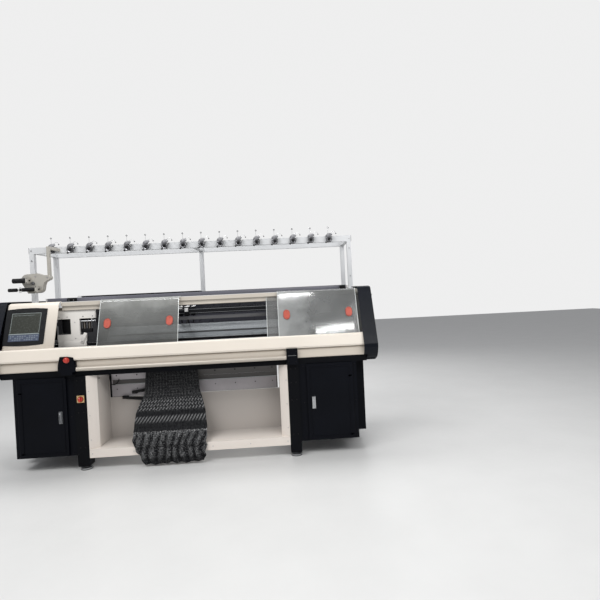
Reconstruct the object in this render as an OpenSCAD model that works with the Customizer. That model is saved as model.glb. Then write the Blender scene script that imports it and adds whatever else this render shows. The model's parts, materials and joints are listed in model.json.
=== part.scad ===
/* [Overall] */
// Half of the length between the two end covers
end_in = 1350; // [1330:1:1400]
// Thickness of each end cover along the machine
end_w = 84; // [70:1:120]
// Half of the depth of the whole machine
half_d = 470; // [465:1:500]
// Height of the end covers' top
end_top = 1264; // [1262:1:1290]

/* [Stand below the beds] */
// Half of the clear width between the pedestals
leg_in = 741; // [735:1:770]
// Width of a pedestal's columns
leg_w = 84; // [70:1:90]
// Y of the pedestals' front faces, in front of the middle
leg_front = 422; // [415:1:424]
// Height of the levelling feet's stack under a pedestal
foot_h = 30; // [30:1:45]
// Height of the base beam's underside
beam_z = 695; // [690:1:700]
// Height of the base beam's rails
beam_h = 47; // [40:1:47]
// Wall of the steel tubes
tube_t = 5; // [3:1:8]

/* [Cabinets] */
// Height of the cabinets' underside
cab_z = 110; // [90:1:200]
// Width of a cabinet from its pedestal outwards
cab_w = 441; // [420:1:470]
// Width of the low box on a cabinet's outer side
cab_side_w = 82; // [60:1:83]
// Door width
door_w = 346; // [320:1:350]
// Wall of the cabinets' sheet
sheet_t = 3; // [2:0.5:5]
// Gap between a door and its cabinet
door_gap = 0.5; // [0.3:0.1:1]

/* [Front] */
// Height of the trim's lower edge
trim_z = 742; // [742:1:745]
// Height of the groove between trim and fascia
groove_z = 812; // [805:1:820]
// Height of the fascia's top edge
fascia_top = 910; // [908:1:912]
// Radius of the half-round start bar
bar_r = 16; // [12:1:16]
// Running clearance of pins in their holes
run_clear = 0.08; // [0.05:0.01:0.1]
// Clearance between sliding pieces
slide_clear = 0.4; // [0.3:0.1:0.6]
// Width of the console
console_w = 380; // [370:1:400]
// Width of the console's black screen frame
bezel_w = 294; // [280:1:300]

/* [Sliding covers] */
// Left edge of the left clear cover
cover_l0 = -660; // [-680:1:-640]
// Width of the left clear cover
cover_l_w = 593; // [560:1:600]
// Left edge of the right clear cover
cover_r0 = 690; // [680:1:700]
// Width of the right clear cover
cover_r_w = 614; // [600:1:620]
// Left edge of the middle clear cover, pushed behind the right one
cover_m0 = 602; // [600:1:620]
// Width of the middle clear cover
cover_m_w = 744; // [700:1:746]
// Thickness of the clear sheet
cover_t = 4; // [3:0.5:5]
// Distance between the two cover tracks
track_gap = 22; // [20:1:24]

/* [Knitting beds] */
// Height of the gap where the two needle beds meet
apex_z = 1018; // [1010:1:1020]
// Gap between the needle beds
bed_gap = 12; // [8:1:12]
// Length of the needle beds
bed_len = 1400; // [1340:1:1420]
// Width of a needle bed, measured along the floor
bed_run = 130; // [120:1:132]
// Thickness of a needle bed, measured upright
bed_t = 31; // [24:1:32]
// Distance between neighbouring yarn feeder rails
rail_pitch = 50; // [50:1:54]
// Height of the feeder rails' underside
rail_z = 1100; // [1096:1:1104]
// Height of a feeder rail
rail_h = 46; // [40:1:48]
// Left end of the carriage at rest
carriage_x0 = -1020; // [-1040:1:-1000]
// Length of the carriage
carriage_w = 292; // [280:1:300]
// Radius of the take-down rollers
roller_r = 22; // [20:1:22.5]
// Radius of the belt pulleys
pulley_r = 36; // [30:1:40]

/* [Yarn stand] */
// Half of the stand's length
stand_half = 1348; // [1340:1:1348]
// Height of the stand rails' top
stand_top = 1708; // [1600:1:1760]
// Height of a stand rail
stand_h = 52; // [40:1:60]
// Y of the front rail's front face
stand_front = 49; // [40:1:60]
// Number of tension units on the front rail
tension_n = 16; // [8:1:18]
// Distance between neighbouring tension units
tension_pitch = 154; // [120:1:160]

/* [Knitted piece] */
// Left edge of the knitted piece
fabric_x0 = -436; // [-445:1:-420]
// Width of the knitted piece
fabric_w = 556; // [520:1:560]
// Thickness of the knitted piece
fabric_t = 5; // [3:0.5:8]

/* [Hidden] */
$fn = 48;
// Gap under pieces screwed onto the sloping faces
seat = 0.05;
beam_top = beam_z + beam_h;
rail_front = 410;
rail_d = 80;

// Outline of a sheet of thickness t that follows the points p, on their left side
function unit(v) = v / norm(v);
function side(p, i) = let (u = unit(p[i + 1] - p[i])) [-u[1], u[0]];
function corner(p, i) =
    let (a = side(p, max(i - 1, 0)), b = side(p, min(i, len(p) - 2))) (a + b) / (1 + a * b);
function sheet(p, t) = concat(p, [for (i = [len(p) - 1 : -1 : 0]) p[i] + t * corner(p, i)]);
function arc(c, r, from, to, n = 8) =
    [for (i = [0 : n]) c + r * [cos(from + (to - from) * i / n), sin(from + (to - from) * i / n)]];

// Stretches an outline drawn in Y and Z from x0 to x1
module along_x(x0, x1) {
    translate([x0, 0, 0]) rotate([90, 0, 90]) linear_extrude(x1 - x0) children();
}
// Stretches an outline drawn in X and Z from y0 to y1
module along_y(y0, y1) {
    translate([0, y1, 0]) rotate([90, 0, 0]) linear_extrude(y1 - y0) children();
}
// A block from its lowest to its highest corner
module block(lo, hi) {
    translate(lo) cube(hi - lo);
}
// Rods along X and along Y, from their start point
module rod_x(p, r, l) {
    translate(p) rotate([0, 90, 0]) cylinder(r = r, h = l);
}
module rod_y(p, r, l) {
    translate(p) rotate([-90, 0, 0]) cylinder(r = r, h = l);
}

// Pedestals and feet
leg_d = 88;
foot_y = leg_front - leg_d / 2;
leg_x = leg_in + leg_w / 2;
foot_plate = 12;
stem_r = 8;
module column(y) {
    difference() {
        block([-leg_w / 2, y, foot_h], [leg_w / 2, y + leg_d, beam_z]);
        block([-leg_w / 2 + tube_t, y + tube_t, foot_h + foot_plate],
            [leg_w / 2 - tube_t, y + leg_d - tube_t, beam_z + 1]);
        translate([0, y + leg_d / 2, foot_h - 1]) cylinder(r = stem_r + 0.5, h = foot_plate + 2);
    }
}
module pedestal() {
    tie_h = 60;
    web_t = 4;
    column(-leg_front);
    column(leg_front - leg_d);
    for (z = [140, beam_z - tie_h]) {
        block([-leg_w / 2, -leg_front + leg_d, z], [leg_w / 2, leg_front - leg_d, z + tie_h]);
    }
    // Web plate on the outer side
    block([leg_w / 2 - web_t, -leg_front + leg_d, 200], [leg_w / 2, leg_front - leg_d, beam_z - tie_h]);
}
module left_pedestal() {
    color("#16181d") mirror([1, 0, 0]) translate([leg_x, 0, 0]) pedestal();
}
module right_pedestal() {
    color("#16181d") translate([leg_x, 0, 0]) pedestal();
}
module levelling_feet() {
    pad_h = 12;
    color("#6d7074") for (x = [-leg_x, leg_x], y = [-foot_y, foot_y]) translate([x, y, 0]) {
        cylinder(r = 40, h = pad_h);
        cylinder(r = stem_r, h = foot_h + foot_plate + 20);
        translate([0, 0, foot_h - 12]) cylinder(r = 14, h = 12, $fn = 6);
    }
}

// Welded ladder frame that carries the beds
module base_beam() {
    beam_half = end_in - 2;
    web = 70;
    color("#101215") {
        for (y = [-rail_front, rail_front - rail_d]) difference() {
            block([-beam_half, y, beam_z], [beam_half, y + rail_d, beam_top]);
            block([-beam_half - 1, y + tube_t, beam_z + tube_t], [beam_half + 1, y + rail_d - tube_t, beam_top - tube_t]);
        }
        for (x = [-beam_half + web / 2, -leg_x, leg_x, beam_half - web / 2]) {
            block([x - web / 2, -rail_front + rail_d, beam_z], [x + web / 2, rail_front - rail_d, beam_top]);
        }
    }
}

// Cabinets beside the pedestals, drawn for the right side
cab_x0 = leg_in + leg_w;
cab_x1 = cab_x0 + cab_w;
cab_top = beam_z;
cab_front = leg_front - 14;
cab_back = 330;
door_x1 = cab_x1 - 36;
door_t = 14;
pin_r = 4;
module cabinet() {
    frame_w = 30;
    side_front = -262;
    side_z = 125;
    difference() {
        block([cab_x0, -cab_front, cab_z], [cab_x1, cab_back, cab_top]);
        block([cab_x0 + sheet_t, -cab_front + sheet_t, cab_z + sheet_t],
            [cab_x1 - sheet_t, cab_back - sheet_t, cab_top - sheet_t]);
        block([cab_x0 + frame_w + 40, -cab_front - 1, cab_z + frame_w],
            [cab_x1 - frame_w - 16, -cab_front + sheet_t + 1, cab_top - frame_w]);
        for (i = [0 : 7]) block([cab_x0 + 90, cab_back - sheet_t - 1, 250 + 24 * i],
            [cab_x1 - 90, cab_back + 1, 258 + 24 * i]);
    }
    // The low box on the outer side
    difference() {
        block([cab_x1, side_front, side_z], [cab_x1 + cab_side_w, cab_back, cab_top]);
        block([cab_x1 - 1, side_front + sheet_t, side_z + sheet_t],
            [cab_x1 + cab_side_w - sheet_t, cab_back - sheet_t, cab_top - sheet_t]);
        for (i = [0 : 7]) block([cab_x1 + 12, cab_back - sheet_t - 1, 250 + 24 * i],
            [cab_x1 + cab_side_w - 12, cab_back + 1, 258 + 24 * i]);
    }
    // Mounting plate with the power unit and the drive units inside
    block([cab_x0 + 20, cab_back - 40, cab_z + sheet_t], [cab_x1 - 20, cab_back - 36, cab_top - 60]);
    for (i = [0 : 2]) block([cab_x0 + 50 + i * 120, cab_back - 160, 330], [cab_x0 + 140 + i * 120, cab_back - 40, 560]);
    // Hinge pins for the door
    for (z = [cab_z + 40, cab_top - 100]) {
        block([door_x1 - 10, -cab_front - 7, z - 12], [door_x1 + 14, -cab_front, z]);
        translate([door_x1, -cab_front - 7, z - 12]) cylinder(r = pin_r, h = 40);
        translate([door_x1, -cab_front - 7, z - 12]) cylinder(r = 7, h = 12);
    }
}
module left_cabinet() {
    color("#15171c") mirror([1, 0, 0]) cabinet();
}
module right_cabinet() {
    color("#15171c") cabinet();
}
// Door with a raised inner border, hinged at its outer edge
latch_x = door_x1 - 300;
border_t = 3;
latch_z = 400;
module door() {
    lo_z = cab_z + 7;
    hi_z = cab_top - 4;
    y1 = -cab_front - door_gap;
    difference() {
        union() {
            block([door_x1 - door_w, y1 - door_t, lo_z], [door_x1, y1, hi_z]);
            translate([door_x1, -cab_front - 7, lo_z]) cylinder(r = 7 - door_gap, h = hi_z - lo_z);
            difference() {
                block([door_x1 - door_w + 22, y1 - door_t - border_t, lo_z + 22], [door_x1 - 22, y1 - door_t, hi_z - 22]);
                block([door_x1 - door_w + 28, y1 - door_t - 4, lo_z + 28], [door_x1 - 28, y1 - door_t + 1, hi_z - 28]);
            }
        }
        // Hollow back
        block([door_x1 - door_w + 12, y1 - door_t + sheet_t, lo_z + 12], [door_x1 - 30, y1 + 1, hi_z - 12]);
        // Room for the hinge's brackets and pins
        for (z = [cab_z + 40, cab_top - 100]) {
            translate([door_x1, -cab_front - 7, z - 12.5]) cylinder(r = pin_r + run_clear, h = 42);
            block([door_x1 - 34, -cab_front - door_t - 6, z - 13], [door_x1 + 24, -cab_front + 1, z + 0.5]);
        }
        // Hole for the latch spindle
        rod_y([latch_x, y1 - door_t - 1, latch_z], 6 + run_clear, door_t + 2);
    }
}
module left_door() {
    color("#181a20") mirror([1, 0, 0]) door();
}
module right_door() {
    color("#181a20") door();
}
module latch() {
    y0 = -cab_front - door_gap - door_t;
    difference() {
        block([latch_x - 10, y0 - 12, latch_z - 41], [latch_x + 10, y0 - border_t - slide_clear, latch_z + 41]);
        block([latch_x - 6, y0 - 13, latch_z - 34], [latch_x + 6, y0 - 8, latch_z + 12]);
    }
    rod_y([latch_x, y0 - 4, latch_z], 6, door_t + 2);
    block([latch_x - 7, y0 + sheet_t + 1, latch_z - 7], [latch_x + 7, y0 + sheet_t + 4, latch_z + 7]);
}
module left_latch() {
    color("#8a8d90") mirror([1, 0, 0]) latch();
}
module right_latch() {
    color("#a7aaad") latch();
}

// Folded sheet tray and walls between the pedestals
liner_z0 = 90;
tray_z = 152;
liner_back = 150;
wall_top = 470;
flange_w = 62;
module center_liner() {
    t = 2;
    half = leg_in - 2;
    in_half = half - flange_w;
    flange_d = 46;
    plan = [[-half, -leg_front], [-in_half, -leg_front + flange_d], [-in_half, -liner_back],
        [in_half, -liner_back], [in_half, -leg_front + flange_d], [half, -leg_front]];
    color("#d9d4d2") {
        difference() {
            translate([0, 0, tray_z - t]) linear_extrude(beam_z - tray_z + t) polygon(sheet(plan, t));
            block([-in_half + 4, -liner_back - 10, wall_top], [in_half - 4, -liner_back + 10, beam_z + 1]);
        }
        translate([0, 0, tray_z - t]) linear_extrude(t) polygon(plan);
        // Lip at the front of the tray
        block([-half, -leg_front, liner_z0], [half, -leg_front + t, tray_z]);
        // Tabs that hold the liner to the pedestals
        for (s = [0, 1], z = [220, 460]) mirror([s, 0, 0])
            block([half - 1, -leg_front + 4, z], [leg_in, -leg_front + 24, z + 30]);
    }
}

// Trim and fascia
trim_front = 420;
module lower_trim() {
    color("#d8d2c6") along_x(-end_in, end_in)
        polygon(sheet([[-rail_front, trim_z], [-trim_front + 4, trim_z], [-trim_front, trim_z + 6],
            [-trim_front - 4, groove_z - 8], [-trim_front + 2, groove_z - 1], [-rail_front + 2, groove_z - 1]], -2.5));
    // Stiffener that stands on the base beam
    color("#d8d2c6") block([-end_in, -rail_front, beam_top], [end_in, -rail_front + 3, groove_z - 1]);
}
fascia_back = 399;
module front_fascia() {
    color("#eae6db") {
        along_x(-end_in, end_in)
            polygon(sheet(concat([[-rail_front + 6, groove_z], [-trim_front + 6, groove_z],
                [-trim_front - 20, groove_z + 6], [-trim_front - 24, groove_z + 18]],
                arc([-fascia_back - 12, fascia_top - 14], 14, 157, 90, 5), [[-fascia_back, fascia_top]]), -2.5));
        block([-end_in, -rail_front + 2, groove_z - 1], [end_in, -rail_front + 6, groove_z + 40]);
    }
}

// Start bar between its two brackets, turning about its own axis
bar_y = -438;
bar_z = 752;
bar_x0 = -792;
bar_x1 = 736;
bracket_face = -452;
module start_bar() {
    color("#dcdcd8") {
        difference() {
            rod_x([bar_x0, bar_y, bar_z], bar_r, bar_x1 - bar_x0);
            block([bar_x0 - 1, bar_y + 4, bar_z - bar_r - 1], [bar_x1 + 1, bar_y + bar_r + 1, bar_z + bar_r + 1]);
            block([bar_x0 + 20, bar_y - 1, bar_z - bar_r + 6], [bar_x1 - 20, bar_y + 5, bar_z + bar_r - 6]);
        }
        rod_x([bar_x0 - 12, bar_y, bar_z], 4, 33);
        rod_x([bar_x1 - 21, bar_y, bar_z], 4, 33);
    }
}
// Black shield shape with the stop button
estop_x = -856;
estop_z = 822;
stem_hole = 9.4;
shield_t = 7;
module estop_bracket() {
    x = -858;
    back = bracket_face + shield_t;
    shield_top = estop_z + 26;
    color("#14161a") difference() {
        union() {
            along_y(bracket_face, back)
                polygon([[x - 64, trim_z - 8], [x + 63, trim_z - 8], [x + 60, 776], [x + 48, estop_z + 18],
                    [x + 6, shield_top], [x - 44, shield_top], [x - 60, 790]]);
            block([x - 50, back, trim_z - 8], [x + 62, -trim_front - 5, groove_z - 2]);
            block([x - 40, -trim_front - 5, trim_z - 30], [x + 40, -rail_front, trim_z - 1]);
            block([x - 40, bracket_face, trim_z - 30], [x + 40, -trim_front - 5, trim_z - 8]);
        }
        rod_x([bar_x0 - 13, bar_y, bar_z], 4 + run_clear, 20);
        rod_y([estop_x, bracket_face - 1, estop_z], stem_hole, 30);
    }
}
module bar_bracket() {
    x0 = 739;
    x1 = 822;
    color("#15171d") difference() {
        union() {
            block([x0, bracket_face, trim_z - 8], [x1, -trim_front - 5, groove_z - 2]);
            block([x0, bracket_face, groove_z - 2], [x1, bracket_face + shield_t, groove_z + 8]);
            block([x0, bracket_face, beam_z + 4], [x1, -rail_front, trim_z - 1]);
        }
        rod_x([x0 - 1, bar_y, bar_z], 4 + run_clear, 13);
        block([x0 + 8, bracket_face - 1, 765], [x1 - 10, bracket_face + 2, 768]);
    }
}
module estop_button() {
    color("#b3231f") {
        rod_y([estop_x, bracket_face - 18, estop_z], 17, 10);
        rod_y([estop_x, bracket_face - 9, estop_z], stem_hole - slide_clear, 12);
    }
}
// Main switch on the left pedestal
switch_x = -783;
switch_z = 528;
switch_r = 8;
module switch_plate() {
    color("#d9b216") difference() {
        block([switch_x - 26, -leg_front - 3, switch_z - 26], [switch_x + 26, -leg_front, switch_z + 26]);
        rod_y([switch_x, -leg_front - 4, switch_z], switch_r + run_clear, 5);
    }
}
module switch_knob() {
    color("#b4261f") {
        rod_y([switch_x, -leg_front - 9, switch_z], 18, 5.6);
        block([switch_x - 5, -leg_front - 25, switch_z - 17], [switch_x + 5, -leg_front - 8, switch_z + 17]);
        rod_y([switch_x, -leg_front - 4, switch_z], switch_r, 3.9);
    }
}

// Console at the left, on the same slope as the covers
cover_foot = -394;
bend_c = [-252, 1220];
bend_r = 30;
slope_a = [cover_foot, fascia_top];
slope_b = bend_c + bend_r * [cos(160), sin(160)];
cover_top = bend_c[1] + bend_r;
slope_u = unit(slope_b - slope_a);
slope_n = [-slope_u[1], slope_u[0]];
console_x0 = -end_in;
console_back = -231;
// Front and underside of the upper rail
upper_y = -250;
upper_z = cover_top - 36;
console_t = 4;
console_line = concat([slope_a], arc(bend_c, bend_r, 160, 90, 6), [[console_back, cover_top]]);
module on_slope(x, along) {
    o = slope_a + along * slope_u;
    translate([x, o[0], o[1]]) rotate([atan2(slope_u[1], slope_u[0]), 0, 0]) children();
}
bezel_x = console_x0 + 156;
slope_l = norm(slope_b - slope_a);
bezel_s1 = slope_l - 22;
bezel_s0 = bezel_s1 - 292;
module console() {
    color("#eae6dd") difference() {
        union() {
            along_x(console_x0, console_x0 + console_w) polygon(sheet(console_line, -console_t));
            along_x(console_x0, console_x0 + console_t) polygon(concat(console_line, [[console_back, fascia_top]]));
            // Block that carries the upper rail's end
            block([console_x0 + console_w - 40, upper_y, upper_z], [console_x0 + console_w, console_back, cover_top - 1]);
        }
        block([console_x0 - 1, cover_foot - 20, fascia_top - 20], [console_x0 + console_w + 1, 0, fascia_top]);
        on_slope(bezel_x, 0) block([-bezel_w / 2 + 16, bezel_s0 + 16, -8], [bezel_w / 2 - 16, bezel_s1 - 16, 8]);
    }
}
// Bowed black frame around the screen
bow = 9;
function bowed(w, s0, s1, b) = concat(
    [for (i = [-6 : 6]) [i / 6 * w / 2, s1 - b * (i / 6) * (i / 6)]],
    [for (i = [6 : -1 : -6]) [i / 6 * w / 2, s0 + b * (i / 6) * (i / 6)]]);
screen_w = 222;
screen_s0 = bezel_s0 + 36;
screen_s1 = bezel_s1 - 34;
module console_bezel() {
    color("#0d0e10") on_slope(bezel_x, 0) translate([0, 0, seat]) difference() {
        linear_extrude(5) polygon(bowed(bezel_w, bezel_s0, bezel_s1, bow));
        block([-screen_w / 2, screen_s0, -1], [screen_w / 2, screen_s1, 6]);
    }
}
module screen() {
    color("#3d403f") on_slope(bezel_x, 0) {
        block([-screen_w / 2 + 0.3, screen_s0 + 0.3, -3], [screen_w / 2 - 0.3, screen_s1 - 0.3, 3]);
        block([-screen_w / 2 - 8, screen_s0 - 10, -28], [screen_w / 2 + 8, screen_s1 + 8, -3]);
    }
}

// Moulded end covers, drawn for the right side
function end_outline(w) = concat(
    arc([-350, 815], 120 - w, 262, 188, 6),
    [[-half_d + w, 800 + w / 4], [-half_d + w, 828]],
    arc([-255, end_top - 34], 34 - w, 158, 90, 5),
    arc([half_d - 34, end_top - 34], 34 - w, 90, 0, 5),
    arc([half_d - 60, 757], 60 - w, 0, -90, 5));
wall = 5;
module end_cover() {
    ribs = 9;
    difference() {
        union() {
            along_x(end_in, end_in + end_w - 16) polygon(end_outline(0));
            along_x(end_in + end_w - 17, end_in + end_w - 6) polygon(end_outline(5));
            along_x(end_in + end_w - 7, end_in + end_w - 4) polygon(end_outline(12));
            // Louvre ribs at the rear
            for (i = [0 : ribs - 1]) block([end_in + end_w - 5, 190, 800 + 44 * i], [end_in + end_w, half_d - 14, 824 + 44 * i]);
        }
        along_x(end_in - 1, end_in + end_w - 20) polygon(end_outline(wall));
        // Upright recess and the vent slots in it
        block([end_in + end_w - 12, -60, 790], [end_in + end_w + 1, 110, 1215]);
        for (i = [0 : 6]) block([end_in + end_w - 30, -40, 840 + 26 * i], [end_in + end_w, 90, 852 + 26 * i]);
    }
    // Screw tabs that meet the base beam's ends
    for (y = [-rail_front, rail_front - rail_d]) block([end_in - 2, y, beam_z + 6], [end_in + 6, y + rail_d, beam_z + 40]);
    for (y = [-rail_front, rail_front - rail_d]) block([end_in + 2, y, beam_z + 6], [end_in + end_w - 18, y + 6, beam_z + 40]);
}
module left_end_cover() {
    color("#1a1c24") mirror([1, 0, 0]) end_cover();
}
// Lip of the right end cover over the ends of the fascia and the covers
lip_w = 28;
module end_lip() {
    difference() {
        along_x(end_in - lip_w, end_in + 1) polygon(end_outline(0));
        along_x(end_in - lip_w - 1, end_in + 2) polygon(end_outline(wall));
        block([end_in - lip_w - 1, -half_d - 1, beam_z - 1], [end_in + 2, half_d + 1, beam_top + 4]);
        block([end_in - lip_w - 1, 0, beam_top], [end_in + 2, half_d + 1, end_top + 1]);
    }
}
module right_end_cover() {
    color("#1a1c24") {
        end_cover();
        end_lip();
    }
}

// Steel plates at both ends that carry the rails and the belt's shafts
plate_x = 1322;
plate_t = 12;
plate_top = 1245;
belt_y = 236;
belt_w = 22;
belt_z = 832;
pulley_x = plate_x - 50;
shaft_r = 10;
module side_plates() {
    color("#8f9296") for (s = [-1, 1]) {
        along_x(s > 0 ? plate_x : -plate_x - plate_t, s > 0 ? plate_x + plate_t : -plate_x)
            polygon([[console_back + 2, beam_top], [console_back + 2, 940], [-145, 940], [-145, 1180], [console_back, 1180],
                [console_back, plate_top], [300, plate_top], [330, plate_top - 30], [330, beam_top]]);
        // Bracket for the pulley shaft
        difference() {
            block([s > 0 ? pulley_x - 40 : -plate_x, belt_y + belt_w + 8, belt_z - 40],
                [s > 0 ? plate_x : -pulley_x + 40, belt_y + belt_w + 28, belt_z + 40]);
            rod_y([s * pulley_x, belt_y, belt_z], shaft_r + run_clear, 60);
        }
    }
}

// Casting with two long prisms under the beds
bed_half = bed_len / 2;
casting_top = bed_t + 0.5;
slide_y0 = 190;
slide_y1 = 215;
slide_z0 = 893;
slide_z1 = 920;
function casting_outline() =
    let (h = bed_gap / 2, r = h + bed_run - bed_t / 2)
    [[-60, beam_top], [-60, 880], [-h - 4, 930], [-h - 4, apex_z - casting_top - 4],
        [-r, apex_z - casting_top - (r - h)], [-slide_y0 + 8, slide_z0 - 21], [-slide_y0 + 8, slide_z0],
        [-slide_y1 - 7, slide_z0], [-slide_y1 - 7, slide_z0 - 25], [-152, beam_top]];
module bed_casting() {
    half = bed_half - 6;
    color("#5c6063") {
        for (s = [0, 1]) mirror([0, s, 0]) along_x(-half, half) polygon(casting_outline());
        for (x = [-half, half - 20]) block([x, -120, beam_top], [x + 20, 120, 772]);
        for (s = [0, 1]) mirror([s, 0, 0]) block([half - 60, -150, beam_top], [leg_x, 150, beam_top + 12]);
    }
}
// Needle bed, drawn for the front side
function bed_outline() =
    let (h = bed_gap / 2)
    [[-h, apex_z], [-h - bed_run, apex_z - bed_run], [-h - bed_run + bed_t / 2, apex_z - bed_run - bed_t / 2],
        [-h, apex_z - bed_t]];
module front_needle_bed() {
    color("#8b9093") along_x(-bed_half, bed_half) polygon(bed_outline());
}
module rear_needle_bed() {
    color("#8b9093") mirror([0, 1, 0]) along_x(-bed_half, bed_half) polygon(bed_outline());
}
module guide_rails() {
    color("#c3c6c9") for (s = [0, 1]) mirror([0, s, 0]) {
        block([-plate_x, -slide_y1, slide_z0], [plate_x, -slide_y0, slide_z1]);
    }
}
feeder_t = 10;
rail_y = [for (i = [0 : 3]) (i - 1.5) * rail_pitch];
module feeder_rails() {
    color("#17191c") for (y = rail_y) {
        block([-plate_x, y - feeder_t / 2, rail_z], [plate_x, y + feeder_t / 2, rail_z + rail_h]);
    }
}
// Yarn feeder that rides on one rail, with its arm down to the gap of the beds
feeder_x = [-54, -112, -20, -76];
module yarn_feeder(i) {
    w = 34;
    tip_y = rail_y[i] * 0.09;
    arm_top = rail_z - 8;
    translate([feeder_x[i], 0, 0]) {
        difference() {
            block([-w / 2, rail_y[i] - 15, rail_z - 10], [w / 2, rail_y[i] + 15, rail_z + rail_h + 12]);
            block([-w / 2 - 1, rail_y[i] - feeder_t / 2 - slide_clear, rail_z - 11],
                [w / 2 + 1, rail_y[i] + feeder_t / 2 + slide_clear, rail_z + rail_h + slide_clear]);
        }
        // Bridge under the rail that carries the arm
        block([-w / 2, rail_y[i] - 15, rail_z - 14], [w / 2, rail_y[i] + 15, rail_z - slide_clear - 1]);
        along_x(-5, 5) polygon([[rail_y[i] - 1.2, arm_top], [rail_y[i] + 1.2, arm_top],
            [tip_y + 1.2, apex_z + 5], [tip_y - 1.2, apex_z + 5]]);
    }
}
module yarn_feeder_1() {
    color("#1b1c1e") yarn_feeder(0);
}
module yarn_feeder_2() {
    color("#1b1c1e") yarn_feeder(1);
}
module yarn_feeder_3() {
    color("#1b1c1e") yarn_feeder(2);
}
module yarn_feeder_4() {
    color("#1b1c1e") yarn_feeder(3);
}

// Carriage: cam carriers on both beds, joined by two arches over the feeder rails
carriage_x1 = carriage_x0 + carriage_w;
arch_top = 1196;
function cam_outline() =
    let (h = bed_gap / 2, lift = 2.1)
    [[-h - 18, apex_z - 18 + lift], [-h - 122, apex_z - 122 + lift], [-slide_y0 + 12, apex_z - 122 + lift],
        [-slide_y0 + 12, slide_z1 + slide_clear], [-slide_y1 - 9, slide_z1 + slide_clear],
        [-slide_y1 - 9, 935], [-205, 935], [-205, 1000], [-104, 1060], [-62, 1046], [-h - 18, 1016]];
module carriage_frame() {
    arch_w = 28;
    color("#3a3d42") {
        for (s = [0, 1]) mirror([0, s, 0]) along_x(carriage_x0, carriage_x1) polygon(cam_outline());
        for (x = [carriage_x0, carriage_x1 - arch_w]) along_x(x, x + arch_w)
            polygon([[-205, 990], [-205, arch_top], [205, arch_top], [205, 990], [118, 1040], [118, 1168],
                [-118, 1168], [-118, 1040]]);
        // Clamp that grips the belt's upper run
        block([carriage_x0 + 110, slide_y1 + 8, belt_z + pulley_r + 4], [carriage_x0 + 190, belt_y + belt_w + 4, 934]);
    }
}
column_x0 = -917;
column_x1 = -850;
module carriage_cover() {
    front = -224;
    color("#e9e7e2") {
        block([carriage_x0, front, 1112], [carriage_x1, -205, arch_top]);
        block([carriage_x0, front, arch_top], [carriage_x1, -front, arch_top + 6]);
        block([carriage_x0, 205, 1112], [carriage_x1, -front, arch_top]);
        block([column_x0, front, 936], [column_x1, -205, 1112]);
        block([carriage_x0, front, 936], [column_x0, -205, 992]);
        block([column_x1, front, 936], [column_x1 + 48, -205, 986]);
    }
}

// Toothed belt round its two pulleys, and the servo motor
module stadium(r) {
    square([2 * pulley_x, 2 * r], center = true);
    for (s = [-1, 1]) translate([s * pulley_x, 0]) circle(r = r);
}
module drive_belt() {
    color("#1d1e20") translate([0, belt_y + belt_w, belt_z]) rotate([90, 0, 0]) linear_extrude(belt_w) difference() {
        stadium(pulley_r + 3.4);
        stadium(pulley_r + 0.3);
    }
}
module pulley(shaft_l) {
    rod_y([0, belt_y - 0.9, 0], pulley_r, belt_w + 1.8);
    for (y = [belt_y - 2.9, belt_y + belt_w + 0.9]) rod_y([0, y, 0], pulley_r + 8, 2);
    rod_y([0, belt_y + belt_w, 0], shaft_r, shaft_l);
    rod_y([0, belt_y + belt_w, 0], shaft_r + 4, 7.5);
}
motor_y = belt_y + belt_w + 28;
module drive_pulley() {
    color("#b5b8ba") translate([pulley_x, 0, belt_z]) pulley(50);
}
module idler_pulley() {
    color("#b5b8ba") translate([-pulley_x, 0, belt_z]) pulley(34);
}
module drive_motor() {
    color("#26282b") difference() {
        union() {
            block([pulley_x - 45, motor_y, belt_z - 40], [pulley_x + 45, motor_y + 16, belt_z + 40]);
            rod_y([pulley_x, motor_y + 16, belt_z], 38, 90);
        }
        rod_y([pulley_x, motor_y - 1, belt_z], shaft_r + 0.5, 36);
    }
}

// Take-down rollers under the gap, their bearings and the guard in front
roller_z = 800;
roller_half = bed_half - 60;
module takedown_roller(y) {
    rod_x([-roller_half, y, roller_z], roller_r, 2 * roller_half);
    rod_x([-roller_half - 30, y, roller_z], 9, 2 * roller_half + 60);
}
module takedown_roller_front() {
    color("#2b2d30") takedown_roller(-23.5);
}
module takedown_roller_rear() {
    color("#2b2d30") takedown_roller(23.5);
}
module takedown_bearings() {
    color("#85888b") for (x = [-roller_half - 26, roller_half + 6]) difference() {
        block([x, -59.5, roller_z - 28], [x + 20, 59.5, roller_z + 28]);
        for (y = [-23.5, 23.5]) rod_x([x - 1, y, roller_z], 9 + run_clear, 22);
    }
}
guard_x = 660;
lever_x = -346;
lever_z = 490;
module takedown_guard() {
    color("#6f6d70") difference() {
        union() {
            block([-guard_x, -146, 606], [guard_x, -110, 672]);
            block([-guard_x, -142, wall_top], [guard_x, -134, 570]);
            block([-guard_x, -136, 560], [guard_x, -124, 616]);
            for (s = [0, 1]) mirror([s, 0, 0]) block([guard_x - 8, -142, wall_top], [guard_x, -112, beam_top]);
        }
        rod_y([lever_x, -150, lever_z], 6 + run_clear, 30);
    }
}
// Forked handle that frees the rollers
module release_levers() {
    y = -164;
    w = 13;
    color("#101113") {
        along_y(y, y + w) {
            polygon([[lever_x, 536], [lever_x - 150, 512], [lever_x - 152, 492], [lever_x, 512]]);
            polygon([[lever_x, 452], [lever_x - 226, 476], [lever_x - 228, 456], [lever_x, 428]]);
            translate([lever_x - 10, 428]) square([20, 108]);
        }
        rod_y([lever_x, y + 2, lever_z], 6, 34);
    }
}

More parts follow.
